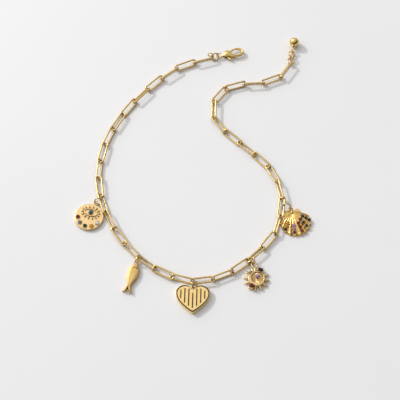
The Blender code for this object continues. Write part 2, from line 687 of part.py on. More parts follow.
def make_shell(loop_height, workshop):
    """Returns the scallop shell: a ribbed fan lofted from its hinge, with ears and rows of stones."""
    hinge = Vector((0.0, -SHELL_HINGE))
    columns = SHELL_RIBS * 4
    rows = [0.1, 0.3, 0.5, 0.7, 0.86, 1.0]
    bm = bmesh.new()
    upper = []
    lower = []
    for column in range(columns + 1):
        angle = SHELL_HALF_ANGLE * (2 * column / columns - 1)
        phase = 2 * math.pi * SHELL_RIBS * column / columns + math.pi
        scallop = 1 + 0.025 * math.cos(phase)
        tops = []
        for share in rows:
            reach = shell_reach(angle) * share * (scallop if share == 1.0 else 1.0)
            spot = hinge + Vector(polar(reach, angle - 90))
            tops.append(bm.verts.new((*spot, shell_height(share, phase))))
        upper.append(tops)
        lower.append([bm.verts.new((top.co.x, top.co.y, 0.0)) for top in (tops[0], tops[-1])])
    for left, right, left_low, right_low in zip(upper, upper[1:], lower, lower[1:]):
        for row in range(len(rows) - 1):
            bm.faces.new((left[row], left[row + 1], right[row + 1], right[row]))
        bm.faces.new((left[-1], left_low[1], right_low[1], right[-1]))
        bm.faces.new((left_low[1], left_low[0], right_low[0], right_low[1]))
        bm.faces.new((left_low[0], left[0], right[0], right_low[0]))
    bm.faces.new((*upper[0], *reversed(lower[0])))
    bm.faces.new((*reversed(upper[-1]), *lower[-1]))
    bmesh.ops.triangulate(bm, faces=bm.faces)
    bmesh.ops.recalc_face_normals(bm, faces=bm.faces)
    shell = mesh_object("shell", bm, workshop)

    # Half of the ears' outline: share of their spread, then share of their rise above the hinge
    half_ear = [(0.0, 0.25), (0.33, 0.55), (0.85, 1.0), (1.0, 0.85), (1.08, -0.7), (0.6, -1.9), (0.0, -1.9)]
    right = [(x * EAR_SPREAD, hinge.y + y * EAR_RISE) for x, y in half_ear]
    left = [(-x, y) for x, y in reversed(right[1:-1])]
    ears = plate("ears", [right + left], STONE_GAP, loop_height - FUSE_DEPTH, 0.2 * MM, workshop)
    combine(shell, ears, "UNION")
    for angle, shares in SHELL_STONES:
        for share in shares:
            spot = hinge + Vector(polar(shell_reach(angle) * share, angle - 90))
            base = shell_height(share, 0.0) - 0.8 * STONE_HEIGHT
            bm = bmesh.new()
            cut_stone(bm, spot, 0.8 * STONE_RADIUS, base, 1.35 * STONE_HEIGHT)
            combine(shell, mesh_object("stone", bm, workshop), "UNION")
    combine(shell, loop_and_stem(loop_height, LOOP_DIAMETER, hinge.y - LOOP_WIRE, workshop), "UNION")
    return shell


def make_ball_drop(start, heading, gold, collection, workshop):
    """Makes the ball drop: its eye hangs in the last end ring and its ball rests on the surface."""
    radius = BALL_DIAMETER / 2
    eye_reach = BALL_EYE_DIAMETER - BALL_EYE_WIRE - (BALL_EYE_WIRE + LINK_GAP) / 2
    ball_at = eye_reach + BALL_EYE_WIRE / 2 + BALL_NECK + radius
    rise = radius - start.z
    flat = math.sqrt(ball_at ** 2 - rise ** 2)
    direction = (Vector((*heading.normalized(), 0.0)) * flat + UP * rise).normalized()
    bm = bmesh.new()
    bmesh.ops.create_uvsphere(bm, u_segments=16, v_segments=10, radius=radius,
                              matrix=Matrix.Translation((ball_at, 0.0, 0.0)) @ Matrix.Rotation(math.radians(90), 4, "Y"))
    drop = mesh_object("ball", bm, workshop)
    bm = bmesh.new()
    neck_start = eye_reach
    neck_end = ball_at - radius + 0.4 * MM
    bmesh.ops.create_cone(bm, cap_ends=True, segments=12, radius1=0.45 * MM, radius2=0.85 * MM,
                          depth=neck_end - neck_start,
                          matrix=(Matrix.Translation(((neck_start + neck_end) / 2, 0.0, 0.0))
                                  @ Matrix.Rotation(math.radians(90), 4, "Y")))
    combine(drop, mesh_object("neck", bm, workshop), "UNION")
    eye_radius = (BALL_EYE_DIAMETER - BALL_EYE_WIRE) / 2
    eye_centre = Matrix.Translation((eye_reach - eye_radius, 0.0, 0.0))
    eye = curve_to_mesh("eye", wire_curve("eye", circle_points(eye_radius, 12), BALL_EYE_WIRE), workshop, eye_centre)
    combine(drop, eye, "UNION")
    finish_casting("ball_drop", drop, gold, collection, workshop)
    drop.matrix_world = lean_matrix(start, direction, BALL_EYE_LEAN)


def ellipse_arc(half_length, half_width, centre, start, end, steps):
    """Returns points along an elliptic arc between two angles."""
    points = []
    for step in range(steps + 1):
        angle = math.radians(start + (end - start) * step / steps)
        points.append((centre[0] + half_length * math.cos(angle), centre[1] + half_width * math.sin(angle)))
    return points


def make_clasp(eye_centre, gold, collection, workshop):
    """Makes the lobster clasp and its lever; X runs from the eye to the hook, Z is the lever's axis."""
    half = CLASP_THICKNESS / 2
    hook_centre = (CLASP_BODY_LENGTH + 0.32 * HOOK_LENGTH, HOOK_RISE)
    pin = (0.48 * CLASP_BODY_LENGTH, PIN_RISE)
    # Outline of the body: shares of its length and of its width, from the eye round its upper side
    body_outline = [(0.2, 0.1), (0.35, 0.3), (0.5, 0.52), (0.68, 0.62), (0.8, 0.5), (0.96, 0.2), (1.14, -0.14),
                    (1.2, -0.26), (0.95, -0.3), (0.6, -0.27), (0.35, -0.2), (0.2, -0.1)]
    outline = [(x * CLASP_BODY_LENGTH, y * CLASP_BODY_WIDTH) for x, y in body_outline]
    body = plate("body", [outline], -half, half, CLASP_EDGE, workshop)
    slot_half = LEVER_THICKNESS / 2 + LEVER_GAP
    bm = bmesh.new()
    slot_start = 0.3 * CLASP_BODY_LENGTH
    slot_end = 1.02 * CLASP_BODY_LENGTH
    bar(bm, (slot_start, 0.0), (slot_end, 0.0), 3 * CLASP_BODY_WIDTH, -slot_half, slot_half)
    combine(body, mesh_object("slot", bm, workshop), "DIFFERENCE")
    bm = bmesh.new()
    cone(bm, pin, PIN_DIAMETER / 2, PIN_DIAMETER / 2, -half + 0.6 * CLASP_EDGE, half - 0.6 * CLASP_EDGE, 12)
    combine(body, mesh_object("pin", bm, workshop), "UNION")
    mouth_start = 108.0
    mouth_end = 225.0
    outer = ellipse_arc(HOOK_LENGTH / 2, HOOK_WIDTH / 2, hook_centre, mouth_end - 360, mouth_start, 22)
    inner = ellipse_arc(HOOK_LENGTH / 2 - HOOK_WIRE, HOOK_WIDTH / 2 - HOOK_WIRE, hook_centre, mouth_start,
                        mouth_end - 360, 22)
    hook = plate("hook", [outer + inner], -HOOK_THICKNESS / 2, HOOK_THICKNESS / 2, 0.6 * CLASP_EDGE,
                 workshop)
    combine(body, hook, "UNION")
    eye = wire_ring("eye", EYE_DIAMETER, EYE_DIAMETER, EYE_WIRE, (0.0, 0.0, 0.0), workshop)
    combine(body, eye, "UNION")
    placement = Matrix.Translation(eye_centre) @ Matrix.Rotation(math.radians(CLASP_HEADING), 4, "Z")
    finish_casting("clasp_body", body, gold, collection, workshop)
    body.matrix_world = placement

    hub = LEVER_HUB
    tip = Vector(polar(1.0, mouth_start, (0.0, 0.0)))
    gate_end = (hook_centre[0] + tip.x * (HOOK_LENGTH - HOOK_WIRE) / 2 - 2.9 * LEVER_GAP,
                hook_centre[1] + tip.y * (HOOK_WIDTH - HOOK_WIRE) / 2)
    gate = Vector(gate_end) - Vector(pin)
    tab = Vector((0.9 * CLASP_BODY_LENGTH, -0.58 * CLASP_BODY_WIDTH)) - Vector(pin)
    side = gate.orthogonal().normalized()
    tab_side = tab.orthogonal().normalized()
    arm = LEVER_ARM
    lever_outline = [tuple(gate + side * 0.9 * arm), tuple(gate * 0.5 + side * 1.35 * arm), polar(hub, 120),
                     polar(hub, 180), polar(hub, 240), tuple(tab * 0.6 - tab_side * arm),
                     tuple(tab - tab_side * 1.1 * arm), tuple(tab + tab_side * 1.1 * arm),
                     tuple(tab * 0.55 + tab_side * arm), (hub * 0.75, 0.0), tuple(gate * 0.55 - side * arm),
                     tuple(gate - side * 0.9 * arm)]
    hole = circle_points(PIN_DIAMETER / 2 + LEVER_GAP, 12)
    lever = plate("lever", [lever_outline, hole], -LEVER_THICKNESS / 2, LEVER_THICKNESS / 2, 0.0, workshop)
    finish_casting("clasp_lever", lever, gold, collection, workshop)
    lever.matrix_world = placement @ Matrix.Translation((*pin, 0.0))


def add_stone(name, placement, seat, radius, stretch, turn, material, collection):
    """Adds a main stone of its own on a charm's seat."""
    bm = bmesh.new()
    cut_stone(bm, (0.0, 0.0), radius, 0.0, STONE_HEIGHT, stretch, turn)
    stone = mesh_object(name, bm, collection)
    stone.data.materials.append(material)
    stone.matrix_world = placement @ Matrix.Translation(seat)


def stand_on_origin(collection):
    """Parents everything to one empty, moved so that the origin is the middle of the foot."""
    bpy.context.view_layer.update()
    depsgraph = bpy.context.evaluated_depsgraph_get()
    corners = []
    for obj in collection.objects:
        mesh = bpy.data.meshes.new_from_object(obj.evaluated_get(depsgraph))
        corners += [obj.matrix_world @ vertex.co for vertex in mesh.vertices]
        bpy.data.meshes.remove(mesh)
    low = [min(corner[axis] for corner in corners) for axis in range(3)]
    high = [max(corner[axis] for corner in corners) for axis in range(3)]
    necklace = bpy.data.objects.new("necklace", None)
    bpy.context.scene.collection.objects.link(necklace)
    for obj in collection.objects:
        obj.parent = necklace
    necklace.location = (-(low[0] + high[0]) / 2, -(low[1] + high[1]) / 2, -low[2])
    bpy.context.view_layer.update()


def main():
    """Builds the whole necklace."""
    clear_scene()
    necklace = make_collection("charm_necklace")
    workshop = make_collection("workshop")
    polished = make_material("polished_gold", (0.83, 0.58, 0.2), 0.18, 1.0)
    satin = make_material("satin_gold", (0.8, 0.62, 0.32), 0.42, 1.0)
    antique = make_material("antique_gold", (0.76, 0.5, 0.16), 0.3, 1.0)
    stone_colours = {"eye_stone": (0.03, 0.3, 0.36), "sun_stone_clear": (0.8, 0.82, 0.86),
                     "sun_stone_navy": (0.01, 0.03, 0.18), "sun_stone_ruby": (0.4, 0.0, 0.05),
                     "sun_stone_lilac": (0.42, 0.25, 0.6)}
    stones = {name: make_material(name, colour, 0.05, 0.0) for name, colour in stone_colours.items()}

    loops = chain_loops()
    drop_eye = Loop("eye", BALL_EYE_DIAMETER, BALL_EYE_DIAMETER, BALL_EYE_WIRE, 0.0, BALL_EYE_LEAN)
    junctions = walk_route(loops, CLASP_THICKNESS / 2, drop_eye.rest_height())
    placements = make_chain(loops, junctions, polished, necklace)
    make_spare_ring(placements, polished, necklace)

    towards_clasp = (junctions[0] - junctions[1]).to_2d().normalized()
    eye_reach = EYE_DIAMETER / 2 - EYE_WIRE - LINK_GAP / 2
    eye_centre = (junctions[0].to_2d() + towards_clasp * eye_reach).to_3d() + UP * CLASP_THICKNESS / 2
    make_clasp(eye_centre, polished, necklace, workshop)
    make_ball_drop(junctions[-1], (junctions[-1] - junctions[-2]).to_2d(), polished, necklace, workshop)

    seats = {hang.charm: hang_charm(hang, placements, polished, necklace) for hang in HANGS}
    heights = {hang.charm: hang.loop_height for hang in HANGS}
    disc, eye_seat = make_eye_disc(heights["eye"], workshop)
    finish_casting("eye_disc", disc, satin, necklace, workshop).matrix_world = seats["eye"]
    add_stone("eye_stone", seats["eye"], eye_seat, EYE_STONE_RADIUS, 1.0, 0.0, stones["eye_stone"], necklace)
    finish_casting("fish_charm", make_fish(heights["fish"], workshop), satin, necklace, workshop).matrix_world = (
        seats["fish"])
    finish_casting("heart_charm", make_heart(heights["heart"], workshop), antique, necklace, workshop).matrix_world = (
        seats["heart"])
    sun, sun_seats = make_sun(heights["sun"], workshop)
    finish_casting("sun_charm", sun, satin, necklace, workshop).matrix_world = seats["sun"]
    for name, seat, radius, stretch, turn in sun_seats:
        add_stone(name, seats["sun"], seat, radius, stretch, turn, stones[name], necklace)
    finish_casting("shell_charm", make_shell(heights["shell"], workshop), satin, necklace, workshop).matrix_world = (
        seats["shell"])
    stand_on_origin(necklace)


if __name__ == "__main__":
    main()
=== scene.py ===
"""Dresses the charm necklace for its studio picture.

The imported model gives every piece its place. Each link, ring and charm is modelled here once more with round
wire, cast relief and cut stones, and stands exactly where its plain solid is.
"""

import json
import logging
import math
from collections.abc import Callable
from dataclasses import dataclass
from enum import Enum

import bpy
import numpy as np
from mathutils import Matrix, Vector


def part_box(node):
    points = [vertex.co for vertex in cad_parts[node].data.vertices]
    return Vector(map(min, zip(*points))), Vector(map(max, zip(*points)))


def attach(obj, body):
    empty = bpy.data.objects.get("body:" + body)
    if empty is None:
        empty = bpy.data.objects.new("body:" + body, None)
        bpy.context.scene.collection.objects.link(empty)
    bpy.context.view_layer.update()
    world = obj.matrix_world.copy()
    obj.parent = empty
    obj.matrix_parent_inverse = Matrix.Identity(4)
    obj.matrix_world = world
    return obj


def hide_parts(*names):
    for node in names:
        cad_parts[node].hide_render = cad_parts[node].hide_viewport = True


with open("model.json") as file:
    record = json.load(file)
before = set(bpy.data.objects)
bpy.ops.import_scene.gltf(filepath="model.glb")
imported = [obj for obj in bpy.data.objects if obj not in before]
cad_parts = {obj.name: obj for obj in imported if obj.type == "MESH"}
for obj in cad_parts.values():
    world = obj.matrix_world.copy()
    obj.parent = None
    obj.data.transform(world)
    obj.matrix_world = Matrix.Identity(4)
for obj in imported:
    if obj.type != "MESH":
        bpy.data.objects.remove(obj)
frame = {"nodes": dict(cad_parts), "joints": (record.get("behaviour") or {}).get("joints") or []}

MM = 0.001
UP = Vector((0.0, 0.0, 1.0))
LOG = logging.getLogger("charm_necklace")
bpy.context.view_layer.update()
# A stone's width as a share of the hole of its collar
STONE_FIT = 0.97
# Moves shorter than this are left out
LEAST_MOVE = 0.01 * MM
# Corners closer than this are one corner
WELD = 0.004 * MM

Outline = list[tuple[float, float]]
Skin = Callable[[float, float], tuple[float, float, float]]
Piece = bpy.types.Object


def linear(code: str) -> tuple[float, float, float, float]:
    """Turns an sRGB hex colour into the linear colour that the shaders take.

    Args:
        code: Six hex digits.

    Returns:
        Red, green, blue and an alpha of one.
    """
    shares = [int(code[index:index + 2], 16) / 255 for index in (0, 2, 4)]
    red, green, blue = (s / 12.92 if s <= 0.04045 else ((s + 0.055) / 1.055) ** 2.4 for s in shares)
    return red, green, blue, 1.0


def add_node(tree: bpy.types.NodeTree, kind: str, settings: dict | None = None,
             links: dict | None = None) -> bpy.types.Node:
    """Adds a node with its settings and its links.

    Args:
        tree: The node tree that it goes into.
        kind: The node's type.
        settings: Values by the name of a socket or of a property.
        links: For each input socket, the node and the output that feed it.

    Returns:
        The new node.
    """
    node = tree.nodes.new(kind)
    for name, value in (settings or {}).items():
        if name in node.inputs:
            node.inputs[name].default_value = value
        else:
            setattr(node, name, value)
    for name, (source, output) in (links or {}).items():
        tree.links.new(source.outputs[output], node.inputs[name])
    return node


def mm(*sizes: float) -> list[float]:
    """Returns sizes in millimetres as metres."""
    return [size * MM for size in sizes]


def polar(radius: float, degrees: float, middle: tuple[float, float] = (0.0, 0.0)) -> tuple[float, float]:
    """Returns the point at a radius and an angle round a middle."""
    angle = math.radians(degrees)
    return middle[0] + radius * math.cos(angle), middle[1] + radius * math.sin(angle)


def ring_outline(radius: float, count: int, middle: tuple[float, float] = (0.0, 0.0)) -> Outline:
    """Returns evenly spaced points on a circle."""
    return [polar(radius, 360 * index / count, middle) for index in range(count)]


class Surface:
    """A material in the making: its nodes, from the object's own coordinates to the shader."""

    def __init__(self, name: str) -> None:
        """Starts the material with its coordinates and its output.

        Args:
            name: The finish that it shows.
        """
        self.material = bpy.data.materials.new(name)
        self.material.use_nodes = True
        self.tree = self.material.node_tree
        self.tree.nodes.clear()
        self.output = add_node(self.tree, "ShaderNodeOutputMaterial")
        self.place = add_node(self.tree, "ShaderNodeTexCoord")

    def noise(self, grain_mm: float, detail: float, roughness: float = 0.5) -> bpy.types.Node:
        """Adds cloudy noise with a grain in millimetres."""
        settings = {"Scale": 1 / (grain_mm * MM), "Detail": detail, "Roughness": roughness}
        return add_node(self.tree, "ShaderNodeTexNoise", settings, {"Vector": (self.place, "Object")})

    def tone(self, source: tuple[bpy.types.Node, str], low: str, high: str, start: float = 0.0,
             end: float = 1.0) -> bpy.types.Node:
        """Adds a ramp between two colours.

        Args:
            source: The node and the output that drive it.
            low: Hex colour at its start.
            high: Hex colour at its end.
            start: Where it starts.
            end: Where it ends.

        Returns:
            The ramp.
        """
        node = add_node(self.tree, "ShaderNodeValToRGB", None, {"Fac": source})
        for index, (position, code) in enumerate(((start, low), (end, high))):
            node.color_ramp.elements[index].position = position
            node.color_ramp.elements[index].color = linear(code)
        return node

    def finish(self, settings: dict, links: dict) -> bpy.types.Material:
        """Adds the shader with its settings and links, and returns the finished material."""
        shader = add_node(self.tree, "ShaderNodeBsdfPrincipled", settings, links)
        self.tree.links.new(shader.outputs["BSDF"], self.output.inputs["Surface"])
        return self.material


@dataclass(frozen=True)
class GoldPlating:
    """Gold plating over cast or drawn brass: its colours, its gloss and the grain of its surface."""

    name: str
    slot: str
    face: str
    warm: str
    # The dark gold of the shade painted into hollows and where pieces touch
    hollow: str
    gloss: float
    dull: float
    grain_mm: float
    relief_mm: float
    painted_shade_reach_mm: float

    def build(self) -> bpy.types.Material:
        """Returns the plating as a material: tone and gloss wander with the grain, and shade is painted in dark gold
        into hollows and where pieces touch.
        """
        surface = Surface(self.name)
        tree = surface.tree
        cloud = surface.noise(7 * self.grain_mm, 3.0)
        grain = surface.noise(self.grain_mm, 4.0, 0.6)
        tone = surface.tone((cloud, "Fac"), self.warm, self.face, 0.32, 0.62)
        # Painted shade: ambient occlusion mixes the colour towards the dark hollow colour in hollows, creases and where
        # pieces touch
        hollow = add_node(tree, "ShaderNodeAmbientOcclusion", {"Distance": self.painted_shade_reach_mm * MM, "samples": 8})
        depth = add_node(tree, "ShaderNodeMapRange", {"From Min": 0.3, "From Max": 0.8}, {"Value": (hollow, "AO")})
        # Sockets 6 and 7 are the two colours of a Mix node, and output 2 is the mixed colour
        colour = add_node(tree, "ShaderNodeMix", {"data_type": "RGBA"},
                          {"Factor": (depth, "Result"), 7: (tone, "Color")})
        colour.inputs[6].default_value = linear(self.hollow)
        gloss = add_node(tree, "ShaderNodeMapRange", {"To Min": self.gloss, "To Max": self.dull},
                         {"Value": (grain, "Fac")})
        bump = add_node(tree, "ShaderNodeBump", {"Strength": 1.0, "Distance": self.relief_mm * MM},
                        {"Height": (grain, "Fac")})
        return surface.finish({"Metallic": 1.0}, {"Base Color": (colour, 2), "Roughness": (gloss, "Result"),
                                                  "Normal": (bump, "Normal")})


@dataclass(frozen=True)
class Crystal:
    """Cut crystal: light passes into it, and painted lighter flecks in its colour stand in for light caught by its
    facets.
    """

    name: str
    slot: str
    deep: str
    # Colour of the painted flecks of light
    bright: str
    clarity: float
    ior: float
    spark: float = 0.2

    def build(self) -> bpy.types.Material:
        """Returns the crystal as a material."""
        surface = Surface(self.name)
        # Painted flecks of light: in a stone they are finer than 0.5 mm, and are painted at 0.6 mm so that they show
        flecks = add_node(surface.tree, "ShaderNodeTexVoronoi", {"Scale": 1 / (0.6 * MM)},
                          {"Vector": (surface.place, "Object")})
        tone = surface.tone((flecks, "Distance"), self.deep, self.bright, 0.1, 0.75)
        return surface.finish({"Roughness": 0.04, "IOR": self.ior, "Transmission Weight": self.clarity,
                               "Specular IOR Level": self.spark}, {"Base Color": (tone, "Color")})


@dataclass(frozen=True)
class Enamel:
    """Dark enamel wiped into engraved lines: glassy, and a little uneven."""

    name: str
    slot: str
    face: str
    thin: str

    def build(self) -> bpy.types.Material:
        """Returns the enamel as a material."""
        surface = Surface(self.name)
        tone = surface.tone((surface.noise(0.8, 2.0), "Fac"), self.face, self.thin)
        return surface.finish({"Roughness": 0.3, "IOR": 1.5}, {"Base Color": (tone, "Color")})


class Finish(Enum):
    """Every finish on the necklace, with the record's material slot that it stands for."""

    # Drawn brass wire, tumbled and gold plated: a warm, slightly silky shine
    POLISHED = GoldPlating("polished_gold_plated_wire", "polished_gold", "E4C88A", "D4B274", "60390E",
                           0.3, 0.42, 0.25, 0.004, 0.8)
    # The clasp and the ball are polished last, to a clear shine
    BRIGHT = GoldPlating("bright_gold_plated_brass", "polished_gold", "ECCC88", "E2BE74", "60390E",
                         0.12, 0.2, 0.25, 0.002, 0.8)
    # Cast brass, fine matt tumble, pale gold plating: soft glow, with shade painted in deeper gold into its hollows
    SATIN = GoldPlating("satin_gold_plated_casting", "satin_gold", "E8CD9A", "DFBF83", "7E4E18",
                        0.34, 0.5, 0.18, 0.006, 0.8)
    # The fish is left stippled by its mould, so it glows evenly and hardly glints
    STIPPLED = GoldPlating("stippled_gold_plated_casting", "satin_gold", "DDBE80", "D2B271", "7E4E18",
                           0.46, 0.64, 0.25, 0.05, 0.8)
    # The shell's casting is left lively between its ribs, so it glints more than the disc
    SHELL = GoldPlating("bright_gold_plated_casting", "satin_gold", "F2CE86", "E0B568", "5A3610",
                        0.24, 0.42, 0.3, 0.02, 0.7)
    # Yellower plating on the heart's flat face
    YELLOW = GoldPlating("yellow_gold_plated_casting", "antique_gold", "FEE09A", "F7D287", "7E4E1C",
                         0.28, 0.42, 0.2, 0.004, 0.6)
    ENAMEL = Enamel("black_brown_enamel", "antique_gold", "1E120A", "3A2412")
    TEAL = Crystal("teal_cut_crystal", "teal_stone", "0A3A48", "246C80", 0.15, 1.54)
    GARNET = Crystal("garnet_cut_crystal", "ruby_stone", "3A0616", "8A1C3C", 0.2, 1.76)
    BLUE_GREY = Crystal("tanzanite_blue_cut_crystal", "lilac_stone", "50546E", "8E92AE", 0.35, 1.69)
    GREEN = Crystal("dark_green_cut_crystal", "teal_stone", "031F20", "124A40", 0.15, 1.58)
    AMBER = Crystal("citrine_orange_cut_crystal", "ruby_stone", "C8741C", "F4B650", 0.35, 1.55)
    CLEAR = Crystal("clear_cut_zirconia", "clear_stone", "D8D8D2", "FFFFFF", 0.35, 2.15, 0.5)
    NAVY = Crystal("navy_cut_sapphire", "navy_stone", "02060F", "0E1A3C", 0.15, 1.77)
    RUBY = Crystal("ruby_cut_crystal", "ruby_stone", "3C0006", "860612", 0.2, 1.77)
    LILAC = Crystal("lilac_cut_amethyst", "lilac_stone", "9A6FBE", "D6B4EA", 0.35, 1.55)
    PLUM = Crystal("plum_cut_crystal", "ruby_stone", "2E0C22", "5C2048", 0.2, 1.76)


class Dresser:
    """Hands out the finishes, and fits finished pieces to the frame."""

    def __init__(self) -> None:
        """Builds every finish once."""
        self.finishes = {finish: finish.value.build() for finish in Finish}

    def paint(self, piece: Piece, finish: Finish) -> None:
        """Gives a piece one finish all over."""
        piece.data.materials.clear()
        piece.data.materials.append(self.finishes[finish])

    def fit(self, piece: Piece, finish: Finish, *nodes: str, body: str = "necklace") -> None:
        """Makes a piece ride on its body in place of its plain solids.

        Args:
            piece: The piece, which is painted here unless its parts were painted before.
            finish: Its finish, or the main one of several.
            nodes: The solids that it replaces.
            body: The body of the frame that carries it.
        """
        if not piece.data.materials:
            self.paint(piece, finish)
        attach(piece, body)
        if nodes:
            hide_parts(*nodes)
        LOG.info("%s rides on %s, %d faces", piece.name, body, len(piece.data.polygons))


class Bench:
    """The jeweller's bench: each method is a few of Blender's own modelling tools."""

    @staticmethod
    def clear() -> None:
        """Deselects everything."""
        if bpy.context.object and bpy.context.object.mode != "OBJECT":
            bpy.ops.object.mode_set(mode="OBJECT")
        bpy.ops.object.select_all(action="DESELECT")

    @staticmethod
    def hold(piece: Piece) -> None:
        """Selects one piece alone and makes it active."""
        Bench.clear()
        piece.select_set(True)
        bpy.context.view_layer.objects.active = piece

    @staticmethod
    def named(name: str) -> Piece:
        """Names the primitive just added, puts its place into its mesh and returns it."""
        piece = bpy.context.object
        piece.name = name
        bpy.ops.object.transform_apply(location=True, rotation=True, scale=True)
        return piece

    @staticmethod
    def edit() -> None:
        """Opens the active piece for editing, all of it selected."""
        bpy.ops.object.mode_set(mode="EDIT")
        bpy.ops.mesh.select_all(action="SELECT")

    @staticmethod
    def close() -> None:
        """Ends the editing of the active piece."""
        bpy.ops.object.mode_set(mode="OBJECT")

    @staticmethod
    def pull(move: tuple[float, float, float], share: float = 1.0) -> None:
        """Extrudes what is selected, and sizes the new end about the Z axis.

        Args:
            move: How far, along each axis.
            share: The new end's size as a share of the old end's.
        """
        bpy.ops.mesh.extrude_region_move(TRANSFORM_OT_translate={"value": move})
        if share != 1.0:
            bpy.ops.transform.resize(value=(share, share, 1.0), center_override=(0.0, 0.0, 0.0))

    @staticmethod
    def smooth(piece: Piece, degrees: float = 38.0) -> Piece:
        """Merges a piece's doubles, turns its faces outwards and smooths it up to an angle.

        Args:
            piece: The piece.
            degrees: Edges sharper than this stay sharp.

        Returns:
            The same piece.
        """
        Bench.hold(piece)
        Bench.edit()
        bpy.ops.mesh.remove_doubles(threshold=WELD)
        bpy.ops.mesh.normals_make_consistent(inside=False)
        Bench.close()
        bpy.ops.object.shade_smooth_by_angle(angle=math.radians(degrees))
        # A plate's broad face stays flat, or its eased edge would make it look domed
        for face in piece.data.polygons:
            if len(face.vertices) > 8:
                face.use_smooth = False
        return piece

    @staticmethod
    def wire_loop(name: str, length: float, width: float, wire: float, corner: float | None = None,
                  cut: float = 0.0) -> Piece:
        """Bends a round wire to a rounded loop that lies flat round the origin, long axis along X.

        Args:
            name: The loop's name.
            length: Outer length.
            width: Outer width.
            wire: Wire diameter.
            corner: Radius of the wire's middle line in the corners, or none for half round ends.
            cut: Width of the saw cut where a jump ring opens, or none for a soldered link.

        Returns:
            The loop.
        """
        wide_half = (width - wire) / 2
        if corner is None:
            corner = wide_half
        run = (length - wire) / 2 - corner
        side = wide_half - corner
        Bench.clear()
        bpy.ops.mesh.primitive_circle_add(vertices=12, radius=wire / 2, location=(cut / 2, wide_half, 0.0),
                                          rotation=(0.0, math.pi / 2, 0.0))
        loop = Bench.named(name)
        Bench.edit()
        for step, pivot in (((run - cut / 2, 0.0), (run, side)), ((0.0, -2 * side), (run, -side)),
                            ((-2 * run, 0.0), (-run, -side)), ((0.0, 2 * side), (-run, side))):
            if max(abs(step[0]), abs(step[1])) > LEAST_MOVE:
                Bench.pull((*step, 0.0))
            bpy.ops.mesh.spin(steps=6, angle=math.pi / 2, center=(*pivot, 0.0), axis=(0.0, 0.0, 1.0))
        if run - cut / 2 > LEAST_MOVE:
            Bench.pull((run - cut / 2, 0.0, 0.0))
        if cut:
            bpy.ops.mesh.select_all(action="SELECT")
            bpy.ops.mesh.fill_holes(sides=0)
        return Bench.smooth(loop, 50.0)

    @staticmethod
    def ease(piece: Piece, width: float, steps: int) -> None:
        """Rounds a piece's sharp edges.

        Args:
            piece: The piece.
            width: Width of the eased edge.
            steps: Facets across it.
        """
        Bench.hold(piece)
        bevel = piece.modifiers.new("eased_edge", "BEVEL")
        bevel.width = width
        bevel.segments = steps
        bevel.limit_method = "ANGLE"
        bevel.angle_limit = math.radians(60)
        bevel.use_clamp_overlap = True
        bpy.ops.object.modifier_apply(modifier=bevel.name)

    @staticmethod
    def slab(name: str, outline: Outline, bottom: float, top: float, ease: float = 0.0, steps: int = 3) -> Piece:
        """Cuts a plate to an outline and eases its top and bottom edges.

        Args:
            name: The plate's name.
            outline: Its corners, in order.
            bottom: Height of its underside.
            top: Height of its face.
            ease: Width of the eased edge, if any.
            steps: Facets across the eased edge.

        Returns:
            The plate.
        """
        Bench.clear()
        bpy.ops.mesh.primitive_circle_add(vertices=len(outline), radius=1.0, fill_type="NGON")
        plate = Bench.named(name)
        for corner, (x, y) in zip(plate.data.vertices, outline):
            corner.co = (x, y, bottom)
        Bench.edit()
        Bench.pull((0.0, 0.0, top - bottom))
        bpy.ops.mesh.select_all(action="SELECT")
        bpy.ops.mesh.normals_make_consistent(inside=False)
        Bench.close()
        if ease:
            Bench.ease(plate, ease, steps)
        return plate

    @staticmethod
    def grounded(name: str, columns: int, rows: int, skin: Skin) -> Piece:
        """Makes a casting with a modelled upper side and a flat underside on the table.

        Args:
            name: The casting's name.
            columns: Squares across its upper side.
            rows: Squares along its upper side.
            skin: Gives the place of a point of the upper side, from two shares of -1 to 1.

        Returns:
            The casting.
        """
        Bench.clear()
        bpy.ops.mesh.primitive_grid_add(x_subdivisions=columns, y_subdivisions=rows, size=2.0)
        casting = Bench.named(name)
        for corner in casting.data.vertices:
            corner.co = skin(corner.co.x, corner.co.y)
        Bench.edit()
        Bench.pull((0.0, 0.0, -0.2 * MM))
        Bench.close()
        # The pulled side is still selected, and is pressed flat
        for corner in casting.data.vertices:
            if corner.select:
                corner.co.z = 0.0
        return casting

    @staticmethod
    def drawn(name: str, path: list[Vector], radii: list[float], closed: bool = False, flat: float = 1.0) -> Piece:
        """Draws a round rod along a path, thicker or thinner from point to point.

        Args:
            name: The rod's name.
            path: Points of its middle line.
            radii: Its radius at each point.
            closed: Whether it joins up.
            flat: Height of the rod as a share of its width, about its first point.

        Returns:
            The rod.
        """
        Bench.clear()
        curve = bpy.data.curves.new(name, "CURVE")
        curve.dimensions = "3D"
        curve.bevel_depth = 1.0
        curve.bevel_resolution = 6
        curve.use_fill_caps = True
        spline = curve.splines.new("NURBS")
        spline.resolution_u = 3
        spline.points.add(len(path) - 1)
        for point, spot, radius in zip(spline.points, path, radii):
            point.co = (*spot, 1.0)
            point.radius = radius
        spline.use_cyclic_u = closed
        spline.use_endpoint_u = not closed
        spline.order_u = 4
        rod = bpy.data.objects.new(name, curve)
        bpy.context.scene.collection.objects.link(rod)
        Bench.hold(rod)
        bpy.ops.object.convert(target="MESH")
        rod = bpy.context.object
        if flat != 1.0:
            base = path[0].z
            for corner in rod.data.vertices:
                corner.co.z = base + (corner.co.z - base) * flat
        return Bench.smooth(rod, 50.0)

    @staticmethod
    def seat(spot: Vector, turn: float, sizes: Vector | tuple[float, float, float]) -> Matrix:
        """Returns a small part's placement: sized, turned about Z by degrees and moved to its spot."""
        return Matrix.Translation(spot) @ Matrix.Rotation(math.radians(turn), 4, "Z") @ Matrix.Diagonal((*sizes, 1.0))

